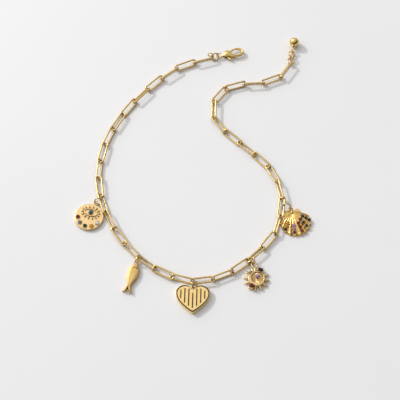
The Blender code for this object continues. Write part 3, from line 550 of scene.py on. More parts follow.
    @staticmethod
    def bead(name: str, spot: Vector, radii: Vector, turn: float = 0.0) -> Piece:
        """Sets a small drop of metal: a ball pressed to an oval, flattened where it sits.

        Args:
            name: The bead's name.
            spot: Its middle.
            radii: Its half sizes.
            turn: Its heading in degrees.

        Returns:
            The bead.
        """
        Bench.clear()
        bpy.ops.mesh.primitive_uv_sphere_add(segments=14, ring_count=8, radius=1.0)
        bead = Bench.named(name)
        bead.data.transform(Bench.seat(spot, turn, radii))
        for corner in bead.data.vertices:
            corner.co.z = max(corner.co.z, spot.z - 0.4 * radii.z)
        return bead

    @staticmethod
    def collar(name: str, spot: Vector, radius: float, wall: float, height: float, stretch: float = 1.0,
               turn: float = 0.0) -> Piece:
        """Makes a stone's collar: a short tube with a rounded lip.

        Args:
            name: The collar's name.
            spot: Middle of its foot.
            radius: Inner radius.
            wall: Wall at its lip.
            height: Its height.
            stretch: Length over width.
            turn: Heading of its length in degrees.

        Returns:
            The collar.
        """
        radii = [radius + share * wall for share in (1.3, 1.0, 0.6, 0.25, 0.0)] + [0.96 * radius]
        Bench.clear()
        bpy.ops.mesh.primitive_circle_add(vertices=24, radius=radii[0])
        ring = Bench.named(name)
        Bench.edit()
        for rise, old, new in zip((0.8, 0.2, 0.0, -0.2, -0.7), radii, radii[1:]):
            Bench.pull((0.0, 0.0, rise * height), new / old)
        bpy.ops.mesh.edge_face_add()
        Bench.close()
        ring.data.transform(Bench.seat(spot, turn, (stretch, 1.0, 1.0)))
        return ring

    @staticmethod
    def cut_stone(name: str, spot: Vector, radius: float, height: float, stretch: float = 1.0,
                  turn: float = 0.0) -> Piece:
        """Cuts a stone: girdle, two tiers of crown facets and a flat table.

        Args:
            name: The stone's name.
            spot: Middle of its foot.
            radius: Half its width.
            height: Its height above the seat.
            stretch: Length over width.
            turn: Heading of its length in degrees.

        Returns:
            The stone.
        """
        Bench.clear()
        bpy.ops.mesh.primitive_circle_add(vertices=16, radius=0.92 * radius, fill_type="NGON")
        stone = Bench.named(name)
        Bench.edit()
        for rise, share in ((0.34, 1.087), (0.12, 1.0), (0.3, 0.84), (0.24, 0.7)):
            Bench.pull((0.0, 0.0, rise * height), share)
        bpy.ops.mesh.select_all(action="SELECT")
        bpy.ops.mesh.quads_convert_to_tris(quad_method="FIXED_ALTERNATE", ngon_method="BEAUTY")
        bpy.ops.mesh.normals_make_consistent(inside=False)
        Bench.close()
        stone.data.transform(Bench.seat(spot, turn, (stretch, 1.0, 1.0)))
        return stone

    @staticmethod
    def cut_away(piece: Piece, tool: Piece) -> None:
        """Cuts a tool out of a piece and drops the tool."""
        Bench.hold(piece)
        saw = piece.modifiers.new("saw", "BOOLEAN")
        saw.operation = "DIFFERENCE"
        saw.object = tool
        bpy.ops.object.modifier_apply(modifier=saw.name)
        bpy.data.objects.remove(tool, do_unlink=True)

    @staticmethod
    def solder(name: str, pieces: list[Piece], place: Matrix | None = None, degrees: float = 38.0) -> Piece:
        """Joins pieces into one, moves it to its place and smooths it.

        Args:
            name: The finished piece's name.
            pieces: What is joined.
            place: Where it goes in the frame.
            degrees: Edges sharper than this stay sharp.

        Returns:
            The finished piece.
        """
        Bench.clear()
        for piece in pieces:
            piece.select_set(True)
        bpy.context.view_layer.objects.active = pieces[0]
        bpy.ops.object.join()
        joined = bpy.context.object
        joined.name = joined.data.name = name
        if place is not None:
            joined.data.transform(place)
        return Bench.smooth(joined, degrees)

    @staticmethod
    def twin(master: Piece, name: str, place: Matrix) -> Piece:
        """Copies a master piece, with a mesh of its own, to a place."""
        copy = master.copy()
        copy.data = master.data.copy()
        copy.name = copy.data.name = name
        copy.data.transform(place)
        bpy.context.scene.collection.objects.link(copy)
        return copy


class Place:
    """Reads where a plain solid stands from its own corners."""

    @staticmethod
    def corners(node: str) -> np.ndarray:
        """Returns the solid's corners, each once."""
        spots = np.array([vertex.co for vertex in frame["nodes"][node].data.vertices], float)
        return np.unique(np.round(spots, 7), axis=0)

    @staticmethod
    def axes(spots: np.ndarray) -> tuple[Vector, Vector]:
        """Returns the directions in which points spread least and second least."""
        spread = spots - spots.mean(0)
        _, axes = np.linalg.eigh(spread.T @ spread)
        return Vector(axes[:, 0]), Vector(axes[:, 1])

    @staticmethod
    def at(middle: Vector, along: Vector, side: Vector, through: Vector) -> Matrix:
        """Returns the placement with its origin and its X, Y and Z directions."""
        return Matrix.Translation(middle) @ Matrix((along, side, through)).transposed().to_4x4()

    @staticmethod
    def of_loop(node: str) -> Matrix:
        """Returns a flat wire loop's placement: X along its length, Z through it."""
        spots = Place.corners(node)
        through, side = Place.axes(spots)
        return Place.at((spots.max(0) + spots.min(0)) / 2, side.cross(through), side, through)

    @staticmethod
    def of_charm(node: str, heading: float, loop_reach: float) -> Matrix:
        """Finds a lying charm's placement: its loop at the origin, the charm along -Y.

        Args:
            node: The charm's solid.
            heading: Which way the charm lies from its loop, in degrees.
            loop_reach: How far its loop reaches above the origin.

        Returns:
            Its placement.
        """
        turn = Matrix.Rotation(math.radians(heading + 90), 4, "Z")
        back = np.array(turn.to_3x3().inverted())
        spots = Place.corners(node) @ back.T
        low, high = spots.min(0), spots.max(0)
        spot = turn @ Vector(((low[0] + high[0]) / 2, high[1] - loop_reach, 0.0))
        return Matrix.Translation(spot) @ turn


@dataclass
class Assembly:
    """A sub-assembly of the necklace, which takes its finishes from the dresser."""

    dresser: Dresser

    def build(self) -> None:
        """Models the sub-assembly and fits its pieces; each kind has its own way."""
        raise NotImplementedError


@dataclass
class Chain(Assembly):
    """The paperclip links, the jump rings and the end rings."""

    link_length: float = 11.97 * MM
    link_width: float = 3.8 * MM
    link_wire: float = 0.92 * MM
    link_corner: float = 0.85 * MM
    link_count: int = 37
    ring_cut: float = 0.05 * MM

    def rings(self) -> dict[str, tuple[float, ...]]:
        """Returns each ring's length, width and wire in mm, and its corner radius where its ends aren't round."""
        return {"clasp_jump_ring": (4.6, 4.2, 0.7, 1.5), "end_ring_a": (4.6, 3.8, 0.65),
                "spare_ring": (3.5, 3.5, 0.6), "eye_ring": (4.2, 4.2, 0.6), "fish_ring": (3.7, 3.7, 0.6),
                "heart_ring": (3.9, 3.9, 0.6), "sun_ring": (3.9, 3.9, 0.6), "shell_ring": (5.0, 5.0, 0.6),
                "end_ring_b": (3.4, 3.4, 0.65), "end_ring_c": (4.2, 4.2, 0.65)}

    def build(self) -> None:
        """Models one link and every ring, and fits them to the chain."""
        link = Bench.wire_loop("link_master", self.link_length, self.link_width, self.link_wire, self.link_corner)
        for index in range(1, self.link_count + 1):
            node = f"link_{index:02d}"
            piece = Bench.twin(link, f"paperclip_{node}", Place.of_loop(node))
            self.dresser.fit(piece, Finish.POLISHED, node)
        bpy.data.objects.remove(link, do_unlink=True)
        for node, sizes in self.rings().items():
            ring = Bench.wire_loop(f"round_{node}", *mm(*sizes), cut=self.ring_cut)
            ring.data.transform(Place.of_loop(node))
            self.dresser.fit(ring, Finish.POLISHED, node)


@dataclass
class CharmLoop:
    """The loop cast on a charm, with its stem."""

    across: float = 2.7 * MM
    wire: float = 0.6 * MM

    def reach(self) -> float:
        """Returns how far the loop reaches past its charm's origin."""
        return self.across / 2

    def build(self, height: float, stem_end: float, length: float | None = None) -> list[Piece]:
        """Makes the loop and the stem that joins it to the charm.

        Args:
            height: Height of the loop's middle.
            stem_end: Where the stem ends inside the charm.
            length: Length of a drawn-out loop, or none for a round one.

        Returns:
            The pieces to solder.
        """
        long = length or self.across
        loop = Bench.wire_loop("loop", long, self.across, self.wire)
        middle = (self.across - long) / 2
        loop.data.transform(Bench.seat(Vector((0.0, middle, height)), 90.0, (1.0, 1.0, 1.0)))
        foot = middle - long / 2 + self.wire / 2
        path = [Vector((0.0, foot + (stem_end - foot) * step / 5, height)) for step in range(6)]
        thick = [self.wire * share for share in (0.46, 0.52, 0.56, 0.56, 0.52, 0.46)]
        return [loop, Bench.drawn("stem", path, thick)]


@dataclass
class Charm(Assembly):
    """A charm that lies along -Y from its loop, with the origin in the loop's middle."""

    heading: float = -90.0
    loop_height: float = 1.4 * MM
    # The same loop is cast on every charm
    loop = CharmLoop()

    def place(self, node: str) -> Matrix:
        """Returns the placement of the charm that stands for a solid."""
        return Place.of_charm(node, self.heading, self.loop.reach())

    def set_stone(self, place: Matrix, finish: Finish, node: str | None, *cut: object) -> None:
        """Cuts a stone, puts it in its setting and fits it.

        Args:
            place: The charm's placement.
            finish: The stone's finish.
            node: The solid that it replaces, or none.
            cut: What Bench.cut_stone takes.
        """
        stone = Bench.cut_stone(*cut)
        stone.data.transform(place)
        self.dresser.fit(stone, finish, *([node] if node else []))


@dataclass
class EyeDisc(Charm):
    """The round charm: almond eye with rays, and an arc of five stones."""

    across: float = 14.4 * MM
    thickness: float = 1.5 * MM
    edge: float = 0.32 * MM
    neck: float = 0.9 * MM
    loop_height: float = 1.1 * MM
    heading: float = -110.0
    eye_rise: float = 0.32
    lid_half: float = 0.47
    lid_rise: float = 0.26
    lid_lift: float = 0.14 * MM
    row_radius: float = 0.765
    row_step: float = 34.0
    stone: float = 0.95 * MM
    eye_stone: float = 1.05 * MM
    collar_wall: float = 0.2 * MM
    collar_sink: float = 0.05 * MM
    rays: int = 14

    def almond(self, half: float, rise: float, middle: float) -> list[Vector]:
        """Returns the line of the eyelids: two arcs that meet in the corners of the eye."""
        line = []
        for step in range(36):
            across, up = polar(1.0, 10 * step)
            lift = math.copysign(abs(up) ** 1.4, up)
            line.append(Vector((half * across, middle + rise * lift, self.thickness + self.lid_lift)))
        return line

    def build(self) -> None:
        """Models the disc and its six stones."""
        radius = self.across / 2
        middle = (0.0, -radius - self.neck)
        eye = Vector((0.0, middle[1] + self.eye_rise * radius, self.thickness))
        half, rise = self.lid_half * radius, self.lid_rise * radius
        lid_radii = [(0.18 + 0.16 * abs(math.sin(math.radians(10 * step)))) * MM for step in range(36)]
        parts = [Bench.slab("disc", ring_outline(radius, 96, middle), 0.0, self.thickness, self.edge, 4),
                 Bench.drawn("lids", self.almond(half, rise, eye.y), lid_radii, closed=True)]
        for index in range(self.rays):
            cosine, sine = polar(1.0, 360 * (index + 0.5) / self.rays)
            start = eye + Vector((1.1 * half * cosine, 1.22 * rise * sine, 0.0))
            end = eye + Vector((1.46 * half * cosine, 2.1 * rise * sine, 0.0))
            run = end - start
            size = Vector((run.length / 2, 0.32 * MM, 0.85 * MM))
            parts.append(Bench.bead("ray", (start + end) / 2, size, math.degrees(math.atan2(run.y, run.x))))
        row = [Vector((*polar(self.row_radius * radius, -90 + self.row_step * index, middle), self.thickness))
               for index in range(-2, 3)]
        for spot, size, height in [(eye, self.eye_stone, 0.42 * MM)] + [(spot, self.stone, 0.44 * MM) for spot in row]:
            parts.append(Bench.collar("collar", spot - UP * self.collar_sink, size, self.collar_wall, height))
        parts += self.loop.build(self.loop_height, middle[1] + radius - 0.6 * MM)
        place = self.place("eye_disc")
        self.dresser.fit(Bench.solder("evil_eye_disc", parts, place), Finish.SATIN, "eye_disc")
        self.set_stone(place, Finish.TEAL, "eye_stone", "eye_centre_stone", eye + UP * 0.05 * MM,
                       STONE_FIT * self.eye_stone, 0.6 * MM)
        finishes = (Finish.GARNET, Finish.BLUE_GREY, Finish.GREEN, Finish.AMBER, Finish.CLEAR)
        for index, (spot, finish) in enumerate(zip(row, finishes), 1):
            self.set_stone(place, finish, None, f"disc_stone_{index}", spot + UP * 0.02 * MM,
                           STONE_FIT * self.stone, 0.62 * MM)


@dataclass
class Fish(Charm):
    """The fish: domed body, gill line, eye, scales and forked tail."""

    length: float = 15.0 * MM
    width: float = 5.8 * MM
    edge: float = 1.45 * MM
    crown: float = 1.95 * MM
    head: float = -0.8 * MM
    scale_rise: float = 0.1 * MM
    gill_depth: float = 0.3 * MM
    gill_width: float = 0.05
    tail_rise: float = 0.45 * MM
    heading: float = -106.0

    def half_width(self, share: float) -> float:
        """Returns half the body's width at a share of its length from the head."""
        along = (0.0, 0.05, 0.16, 0.32, 0.5, 0.66, 0.78, 0.86, 1.0)
        widths = (0.25, 0.55, 0.88, 1.0, 0.84, 0.52, 0.29, 0.5, 0.8)
        return float(np.interp(share, along, widths)) * self.width / 2

    def scales(self, share: float, across: float) -> float:
        """Returns how much the overlapping scales lift the body at a point."""
        if not 0.3 < share < 0.74:
            return 0.0
        row = (share - 0.3) / 0.055
        shift = 0.5 * (int(row) % 2)
        arc = abs(((across * 3.0 + shift) % 1.0) - 0.5) * 2
        return self.scale_rise * (1.0 - (row - 0.35 * arc) % 1.0)

    def skin(self, across: float, along: float) -> tuple[float, float, float]:
        """Returns the place of a point of the upper side."""
        share = (1 - along) / 2
        fork = 0.17 * self.length * max(0.0, (share - 0.84) / 0.16) * max(0.0, 1 - abs(across) / 0.6)
        bulge = 1 - abs(across) ** 3.6
        tail = max(0.0, min(1.0, (share - 0.62) / 0.16))
        height = self.edge + (self.crown - self.edge) * bulge * (1 - 0.6 * tail) * min(1.0, 0.45 + 6 * share)
        height += self.scales(share, across) * bulge
        gill = abs(math.hypot(across * 0.5 - 0.04, (share - 0.19) * 2.6) - 0.18)
        if gill < self.gill_width and share < 0.18:
            height -= self.gill_depth * (1 - gill / self.gill_width)
        if tail == 1.0:
            height += self.tail_rise * math.sin(math.pi * min(1.0, abs(across)))
        return across * self.half_width(share), self.head - share * self.length + fork, height

    def build(self) -> None:
        """Models the fish."""
        eye = Vector((0.17 * self.width, self.head - 0.12 * self.length, 1.85 * MM))
        parts = [Bench.grounded("body", 48, 120, self.skin),
                 Bench.collar("eye_rim", eye, 0.28 * MM, 0.16 * MM, 0.4 * MM),
                 Bench.bead("pupil", eye + UP * 0.16 * MM, Vector((0.24, 0.24, 0.2)) * MM)]
        parts += self.loop.build(self.loop_height, self.head - 1.2 * MM)
        fish = Bench.solder("little_fish", parts, self.place("fish_charm"))
        self.dresser.fit(fish, Finish.STIPPLED, "fish_charm")


@dataclass
class Heart(Charm):
    """The heart: bright face, dark line inside its rim and dark upright grooves."""

    width: float = 16.2 * MM
    height: float = 14.2 * MM
    thickness: float = 2.4 * MM
    fullness: float = 1.6
    rim: float = 0.14 * MM
    groove: float = 0.6 * MM
    groove_depth: float = 0.14 * MM
    ease: float = 0.12 * MM
    wall_bands: int = 3
    finest: float = 0.3 * MM
    lines: int = 7
    play: float = 0.18 * MM
    heading: float = -91.6

    def outline(self, inset: float) -> Outline:
        """Returns the heart's curve, drawn in by an inset."""
        count = 120
        # Highest and lowest value of the curve's own y
        tallest, lowest = 11.97, -17.0
        lobes_top = 0.4 * self.loop.across
        points = []
        for index in range(count):
            t = 2 * math.pi * (index + 0.5) / count
            x = 16 * math.copysign(abs(math.sin(t)) ** (3.0 if math.cos(t) > 0 else self.fullness), math.sin(t))
            y = 13 * math.cos(t) - 5 * math.cos(2 * t) - 2 * math.cos(3 * t) - math.cos(4 * t)
            spot = (x * (self.width - 2 * inset) / 32,
                    lobes_top - inset + (y - tallest) * (self.height - 2.3 * inset) / (tallest - lowest))
            if not points or min(math.dist(spot, points[0]), math.dist(spot, points[-1])) > self.finest:
                points.append(spot)
        return points

    def span(self, outline: Outline, x: float) -> tuple[float, float]:
        """Returns the lowest and the highest point of an outline on a line of equal x."""
        hits = []
        for (x0, y0), (x1, y1) in zip(outline, outline[1:] + outline[:1]):
            if (x0 - x) * (x1 - x) < 0:
                hits.append(y0 + (y1 - y0) * (x - x0) / (x1 - x0))
        return min(hits), max(hits)

    def engrave(self, island: Piece, inset: float, bed: float) -> None:
        """Cuts the upright grooves through the face.

        Args:
            island: The face's plate.
            inset: How far the grooves' ends stay inside the heart's outline.
            bed: Height of the enamel under the face.
        """
        face = self.outline(inset)
        spacing = (self.width - 2 * inset) / (self.lines - 0.2)
        half = self.groove / 2
        for line in range(self.lines):
            x = (line - (self.lines - 1) / 2) * spacing
            low, high = self.span(face, x + LEAST_MOVE)
            ends = [polar(half, start + 180 * step / 8, (x, y)) for start, y in ((180, low + half), (0, high - half))
                    for step in range(9)]
            Bench.cut_away(island, Bench.slab("line", ends, bed - 0.3 * MM, self.thickness + MM))

    def build(self) -> None:
        """Models the heart: gold wall in bands, enamel, and a gold face with grooves down to the enamel."""
        bed = self.thickness - self.groove_depth
        band = bed / self.wall_bands
        whole = self.outline(0.0)
        inner = self.rim + self.groove
        layers = [Bench.slab("wall", whole, index * band, min(bed, (index + 1.06) * band), self.ease)
                  for index in range(self.wall_bands)]
        layers += [Bench.slab("enamel", self.outline(self.rim), band, bed + 0.03 * MM),
                   Bench.slab("island", self.outline(inner), band, self.thickness)]
        self.engrave(layers[-1], inner + 1.5 * self.groove, bed)
        clear = self.loop.reach() + self.play
        for layer in layers:
            Bench.cut_away(layer, Bench.slab("relief", ring_outline(clear, 48), -MM, 2 * self.thickness))
        notch = min(self.span(whole, LEAST_MOVE)[1], -clear)
        layers += self.loop.build(self.loop_height, notch - 1.2 * self.loop.wire)
        for layer in layers:
            self.dresser.paint(layer, Finish.ENAMEL if layer.name.startswith("enamel") else Finish.YELLOW)
        heart = Bench.solder("engraved_heart", layers, self.place("heart_charm"), 30.0)
        self.dresser.fit(heart, Finish.YELLOW, "heart_charm")


@dataclass
class Sun(Charm):
    """The sun: finger-like rays, crescent rim round a hammered middle, four stones."""

    across: float = 13.0 * MM
    thickness: float = 1.3 * MM
    neck: float = 1.35 * MM
    rays: int = 12
    cup_foot: float = 0.3 * MM
    cup_wall: float = 0.16 * MM
    heading: float = -82.0

    def stones(self) -> list[tuple[str, float, float, float, float, Finish]]:
        """Returns each stone's node, angle, share of the radius, half width, stretch and finish."""
        return [("sun_stone_clear", 125, 0.76, 1.0 * MM, 1.0, Finish.CLEAR),
                ("sun_stone_navy", 57, 0.74, 0.95 * MM, 1.35, Finish.NAVY),
                ("sun_stone_ruby", 231, 0.72, 1.15 * MM, 1.0, Finish.RUBY),
                ("sun_stone_lilac", 61, 0.2, 0.85 * MM, 1.0, Finish.LILAC)]

    def middle_plate(self, middle: tuple[float, float], radius: float) -> Piece:
        """Makes the hammered middle of the sun, with fine lines that run out from its stone."""
        Bench.clear()
        bpy.ops.mesh.primitive_circle_add(vertices=96, radius=0.57 * radius, fill_type="TRIFAN",
                                          location=(*middle, 0.0))
        plate = Bench.named("middle")
        Bench.edit()
        bpy.ops.mesh.subdivide(number_cuts=5)
        Bench.close()
        for corner in plate.data.vertices:
            x, y = corner.co.x - middle[0], corner.co.y - middle[1]
            out = math.hypot(x, y)
            ripple = 0.09 * MM * math.cos(24 * math.atan2(y, x)) * min(1.0, out / (0.3 * radius))
            corner.co.z = self.thickness + 0.22 * MM + ripple + 0.12 * MM * math.cos(out / (0.42 * MM))
        return plate

    def rim(self, middle: tuple[float, float], radius: float) -> Piece:
        """Makes the crescent: a round plate with a round hole to one side."""
        rim = Bench.slab("rim", ring_outline(0.61 * radius, 64, middle), 0.3 * MM, self.thickness + 0.75 * MM)
        hollow = ring_outline(0.46 * radius, 64, polar(0.09 * radius, 30, middle))
        Bench.cut_away(rim, Bench.slab("hollow", hollow, -MM, 4 * MM))
        Bench.ease(rim, 0.26 * MM, 4)
        return rim

    def build(self) -> None:
        """Models the sun and its stones."""
        place = self.place("sun_charm")
        radius = self.across / 2
        middle = (0.0, -radius - self.neck)
        parts = [Bench.slab("base", ring_outline(0.62 * radius, 72, middle), 0.0, self.thickness, 0.2 * MM)]
        for index in range(self.rays):
            angle = 360 * (index + 0.5) / self.rays
            path = [Vector((*polar(share * radius, angle, middle), 0.62 * self.thickness))
                    for share in (0.5, 0.62, 0.72, 0.82, 0.9, 0.96, 0.985)]
            parts.append(Bench.drawn("ray", path, mm(0.86, 0.8, 0.68, 0.54, 0.43, 0.33, 0.16), flat=0.95))
        parts += [self.rim(middle, radius), self.middle_plate(middle, radius)]
        stones = []
        for node, angle, share, half, stretch, finish in self.stones():
            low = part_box(node)[0].z
            spot = Vector((*polar(share * radius, angle, middle), 0.0))
            turn = angle + 90
            parts.append(Bench.collar("cup", spot + UP * self.cup_foot, half, self.cup_wall,
                                      low - self.cup_foot + 0.08 * MM, stretch, turn))
            for x, y in ((-0.78, -0.78), (0.78, -0.78), (-0.78, 0.78), (0.78, 0.78)):
                foot = Matrix.Rotation(math.radians(turn), 3, "Z") @ Vector((half * stretch * x, half * y, 0.0))
                parts.append(Bench.bead("prong", spot + foot + UP * (low + 0.34 * MM), Vector((0.17, 0.17, 0.3)) * MM))
            stones.append((finish, node, f"dressed_{node}", spot + UP * low, STONE_FIT * half, 0.7 * MM, stretch, turn))
        length = self.loop.across + 1.1 * MM
        parts += self.loop.build(self.loop_height, middle[1] + 0.6 * radius, length)
        bail = self.loop.reach() - length + 0.3 * MM
        path = [Vector((0.0, bail - step * 0.35 * MM, self.loop_height)) for step in range(6)]
        parts.append(Bench.drawn("bail", path, mm(0.35, 0.5, 0.62, 0.72, 0.8, 0.82)))
        self.dresser.fit(Bench.solder("sun_burst", parts, place), Finish.SATIN, "sun_charm")
        for stone in stones:
            self.set_stone(place, *stone)


@dataclass
class Shell(Charm):
    """The scallop shell: curved ribs, scalloped rim, ears and rows of small stones."""

    length: float = 12.6 * MM
    half_angle: float = 68.0
    ribs: int = 11
    crest: float = 2.4 * MM
    rim: float = 0.9 * MM
    rib_height: float = 0.3 * MM
    lip: float = 0.22 * MM
    sweep: float = 4.0
    hinge: float = 1.9 * MM
    ear_spread: float = 3.9 * MM
    ear_rise: float = 1.5 * MM
    heading: float = -71.0
    stone: float = 0.88 * MM

    def reach(self, angle: float) -> float:
        """Returns the fan's length at an angle from its axis."""
        return self.length * (1 - 0.42 * (angle / self.half_angle) ** 2)

    def lift(self, share: float, phase: float) -> float:
        """Returns the fan's height: domed along its length, raised on each rib."""
        dome = self.rim + (self.crest - self.rim) * math.sin(math.pi * (0.25 + 0.75 * share))
        crown = math.cos(phase)
        ridge = math.copysign(abs(crown) ** 0.7, crown)
        return dome + self.rib_height * share * ridge

    def rows(self) -> list[tuple[float, list[tuple[float, Finish]]]]:
        """Returns each row's angle, with the share of the fan's length and the finish of its stones."""
        green, red, plum, navy = Finish.GREEN, Finish.RUBY, Finish.PLUM, Finish.NAVY
        lilac, amber = Finish.LILAC, Finish.AMBER
        return [(46, [(0.55, green), (0.74, green), (0.92, navy)]),
                (25, [(0.49, plum), (0.67, navy), (0.85, navy)]),
                (6, [(0.54, red), (0.71, red), (0.88, red)]),
                (-14, [(0.6, lilac), (0.745, lilac), (0.89, plum)]),
                (-39, [(0.6, amber), (0.755, amber), (0.91, navy)])]

    def skin(self, across: float, along: float) -> tuple[float, float, float]:
        """Returns the place of a point of the fan's upper side."""
        share = 0.1 + 0.9 * (1 - along) / 2
        angle = self.half_angle * across
        phase = 2 * math.pi * self.ribs * (across + 1) / 2 + math.pi
        scallop = 1 + 0.025 * math.cos(phase) * max(0.0, share - 0.8) / 0.2
        sweep = self.sweep * math.sin(math.pi * share) * across
        x, y = polar(self.reach(angle) * share * scallop, angle + sweep - 90)
        lip = self.lip * max(0.0, 1 - abs(share - 0.95) / 0.05)
        return x, y - self.hinge, self.lift(share, phase) + lip

    def ears(self) -> list[Piece]:
        """Makes the two ears beside the hinge, with three raised lines on each."""
        half_ear = [(0.0, 0.25), (0.33, 0.55), (0.6, 0.85), (0.85, 1.0), (0.96, 0.97), (1.0, 0.85), (1.08, -0.7),
                    (0.6, -1.9), (0.0, -1.9)]
        right = [(x * self.ear_spread, y * self.ear_rise - self.hinge) for x, y in half_ear]
        left = [(-x, y) for x, y in reversed(right[1:-1])]
        parts = [Bench.slab("ears", right + left, 0.05 * MM, self.loop_height - 0.12 * MM, 0.25 * MM)]
        for side in (-1, 1):
            for line in range(3):
                path = [Vector((side * (0.25 + 0.22 * line + 0.04 * step) * self.ear_spread,
                                -self.hinge + (0.75 - 0.42 * step) * self.ear_rise, self.loop_height - 0.1 * MM))
                        for step in range(6)]
                parts.append(Bench.drawn("ear_line", path, mm(0.08, 0.2, 0.22, 0.22, 0.2, 0.1)))
        return parts

    def build(self) -> None:
        """Models the shell and its stones."""
        place = self.place("shell_charm")
        parts = [Bench.grounded("fan", self.ribs * 14, 36, self.skin), *self.ears()]
        stones = []
        for angle, row in self.rows():
            for share, finish in row:
                x, y = polar(self.reach(angle) * share, angle - 90)
                spot = Vector((x, y - self.hinge, self.lift(share, 0.0) - 0.18 * MM))
                parts.append(Bench.collar("setting", spot, 0.92 * self.stone, 0.12 * MM, 0.34 * MM))
                stones.append((finish, None, f"shell_stone_{len(stones) + 1:02d}", spot + UP * 0.04 * MM,
                               0.9 * self.stone, 0.52 * MM))
        parts += self.loop.build(self.loop_height, -self.hinge - self.loop.wire)
        self.dresser.fit(Bench.solder("scallop_shell", parts, place, 50.0), Finish.SHELL, "shell_charm")
        for stone in stones:
            self.set_stone(place, *stone)


@dataclass
class Clasp(Assembly):
    """The lobster clasp and its sprung lever."""

    heading: float = 4.0
    body_length: float = 7.0 * MM
    body_width: float = 5.2 * MM
    thickness: float = 3.0 * MM
    slot_start: float = 0.3
    slot_end: float = 1.07
    hook_length: float = 7.6 * MM
    hook_width: float = 5.8 * MM
    hook_wire: float = 1.4 * MM
    hook_rise: float = 1.4 * MM
    hook_root: float = -120.0
    hook_tip: float = 108.0
    eye_across: float = 3.4 * MM
    eye_wire: float = 0.6 * MM
    lever: float = 0.8 * MM
    hub: float = 1.0 * MM
    gap: float = 0.12 * MM
    pin_across: float = 0.8 * MM
    pin_along: float = 0.48
    pin_rise: float = 0.3 * MM

    def pin(self) -> Vector:
        """Returns the middle of the lever's pin."""
        return Vector((self.pin_along * self.body_length, self.pin_rise, 0.0))

    def place(self) -> Matrix:
        """Returns the clasp's placement from its lever's hinge: the eye at the origin, the hook along X."""
        pivot = Vector(frame["joints"][0]["pos_m"])
        turn = Matrix.Rotation(math.radians(self.heading), 4, "Z")
        return Matrix.Translation(pivot - turn @ self.pin()) @ turn

    def on_hook(self, angle: float) -> Vector:
        """Returns the point of the hook's middle line at an angle in degrees."""
        across, up = polar(1.0, angle)
        return Vector((self.body_length + 0.32 * self.hook_length + (self.hook_length - self.hook_wire) / 2 * across,
                       self.hook_rise + (self.hook_width - self.hook_wire) / 2 * up, 0.0))

    def build_body(self) -> None:
        """Models the body with its slot, hook, eye and pin."""
        # Along the body, sideways, and across it, as shares of its length and width
        swell = [(0.13, 0.0, 0.1), (0.22, 0.01, 0.24), (0.34, 0.05, 0.56), (0.46, 0.1, 0.78), (0.58, 0.14, 0.9),
                 (0.7, 0.15, 0.92), (0.82, 0.08, 0.8), (0.93, -0.05, 0.6), (1.05, -0.14, 0.4), (1.2, -0.17, 0.27)]
        along, shifts, widths = zip(*swell)
        body = Bench.drawn("body", [Vector((x * self.body_length, 0.0, 0.0)) for x in along],
                           [width * self.body_width / 2 for width in widths], flat=0.6)
        for corner in body.data.vertices:
            corner.co.y += float(np.interp(corner.co.x / self.body_length, along, shifts)) * self.body_width
        slot_half = self.lever / 2 + self.gap
        start, end = self.slot_start * self.body_length, self.slot_end * self.body_length
        far = 8 * MM
        slot = [(start, -far), (end, -far), (end, far), (start, far)]
        Bench.cut_away(body, Bench.slab("slot", slot, -slot_half, slot_half))
        shares = [step / 32 for step in range(33)]
        path = [self.on_hook(self.hook_root + (self.hook_tip - self.hook_root) * share) for share in shares]
        thick = [self.hook_wire / 2 * (1.05 - 0.38 * share ** 3) for share in shares]
        hook = Bench.drawn("hook", path, thick, flat=1.15)
        eye = Bench.wire_loop("eye", self.eye_across, self.eye_across, self.eye_wire)
        half = 0.35 * self.thickness
        pin = Bench.slab("pin", ring_outline(self.pin_across / 2, 24, self.pin().to_2d()), -half, half, 0.12 * MM)
        piece = Bench.solder("lobster_body", [body, hook, eye, pin], self.place())
        self.dresser.fit(piece, Finish.BRIGHT, "clasp_body")

    def build_lever(self) -> None:
        """Models the sprung lever: hub, gate and thumb tab."""
        pin = self.pin()
        middle = pin.to_2d()
        half = self.lever / 2
        hub = Bench.slab("hub", ring_outline(self.hub, 32, middle), -half, half, 0.1 * MM)
        hole = Bench.slab("hole", ring_outline(self.pin_across / 2 + self.gap, 24, middle), -MM, MM)
        gate = self.on_hook(self.hook_tip) - Vector((2.9 * self.gap, 0.0, 0.0))
        arm = Bench.drawn("gate", [pin.lerp(gate, share) for share in (0.2, 0.4, 0.6, 0.8, 0.95, 1.0)],
                          mm(0.44, 0.48, 0.54, 0.54, 0.56, 0.46), flat=0.85)
        tab = Vector((0.9 * self.body_length, -0.58 * self.body_width, 0.0))
        bow = Vector((0.0, -0.35 * MM, 0.0))
        path = [pin.lerp(tab, share) + bow * math.sin(math.pi * share)
                for share in (0.22, 0.4, 0.55, 0.7, 0.84, 0.95, 1.0)]
        thumb = Bench.drawn("thumb_tab", path, mm(0.4, 0.42, 0.44, 0.5, 0.6, 0.64, 0.46), flat=0.78)
        lever = Bench.solder("sprung_lever", [hub, arm, thumb])
        Bench.cut_away(lever, hole)
        lever.data.transform(self.place())
        Bench.smooth(lever)
        self.dresser.fit(lever, Finish.BRIGHT, "clasp_lever", body="lever")

    def build(self) -> None:
        """Models the whole clasp."""
        self.build_body()
        self.build_lever()


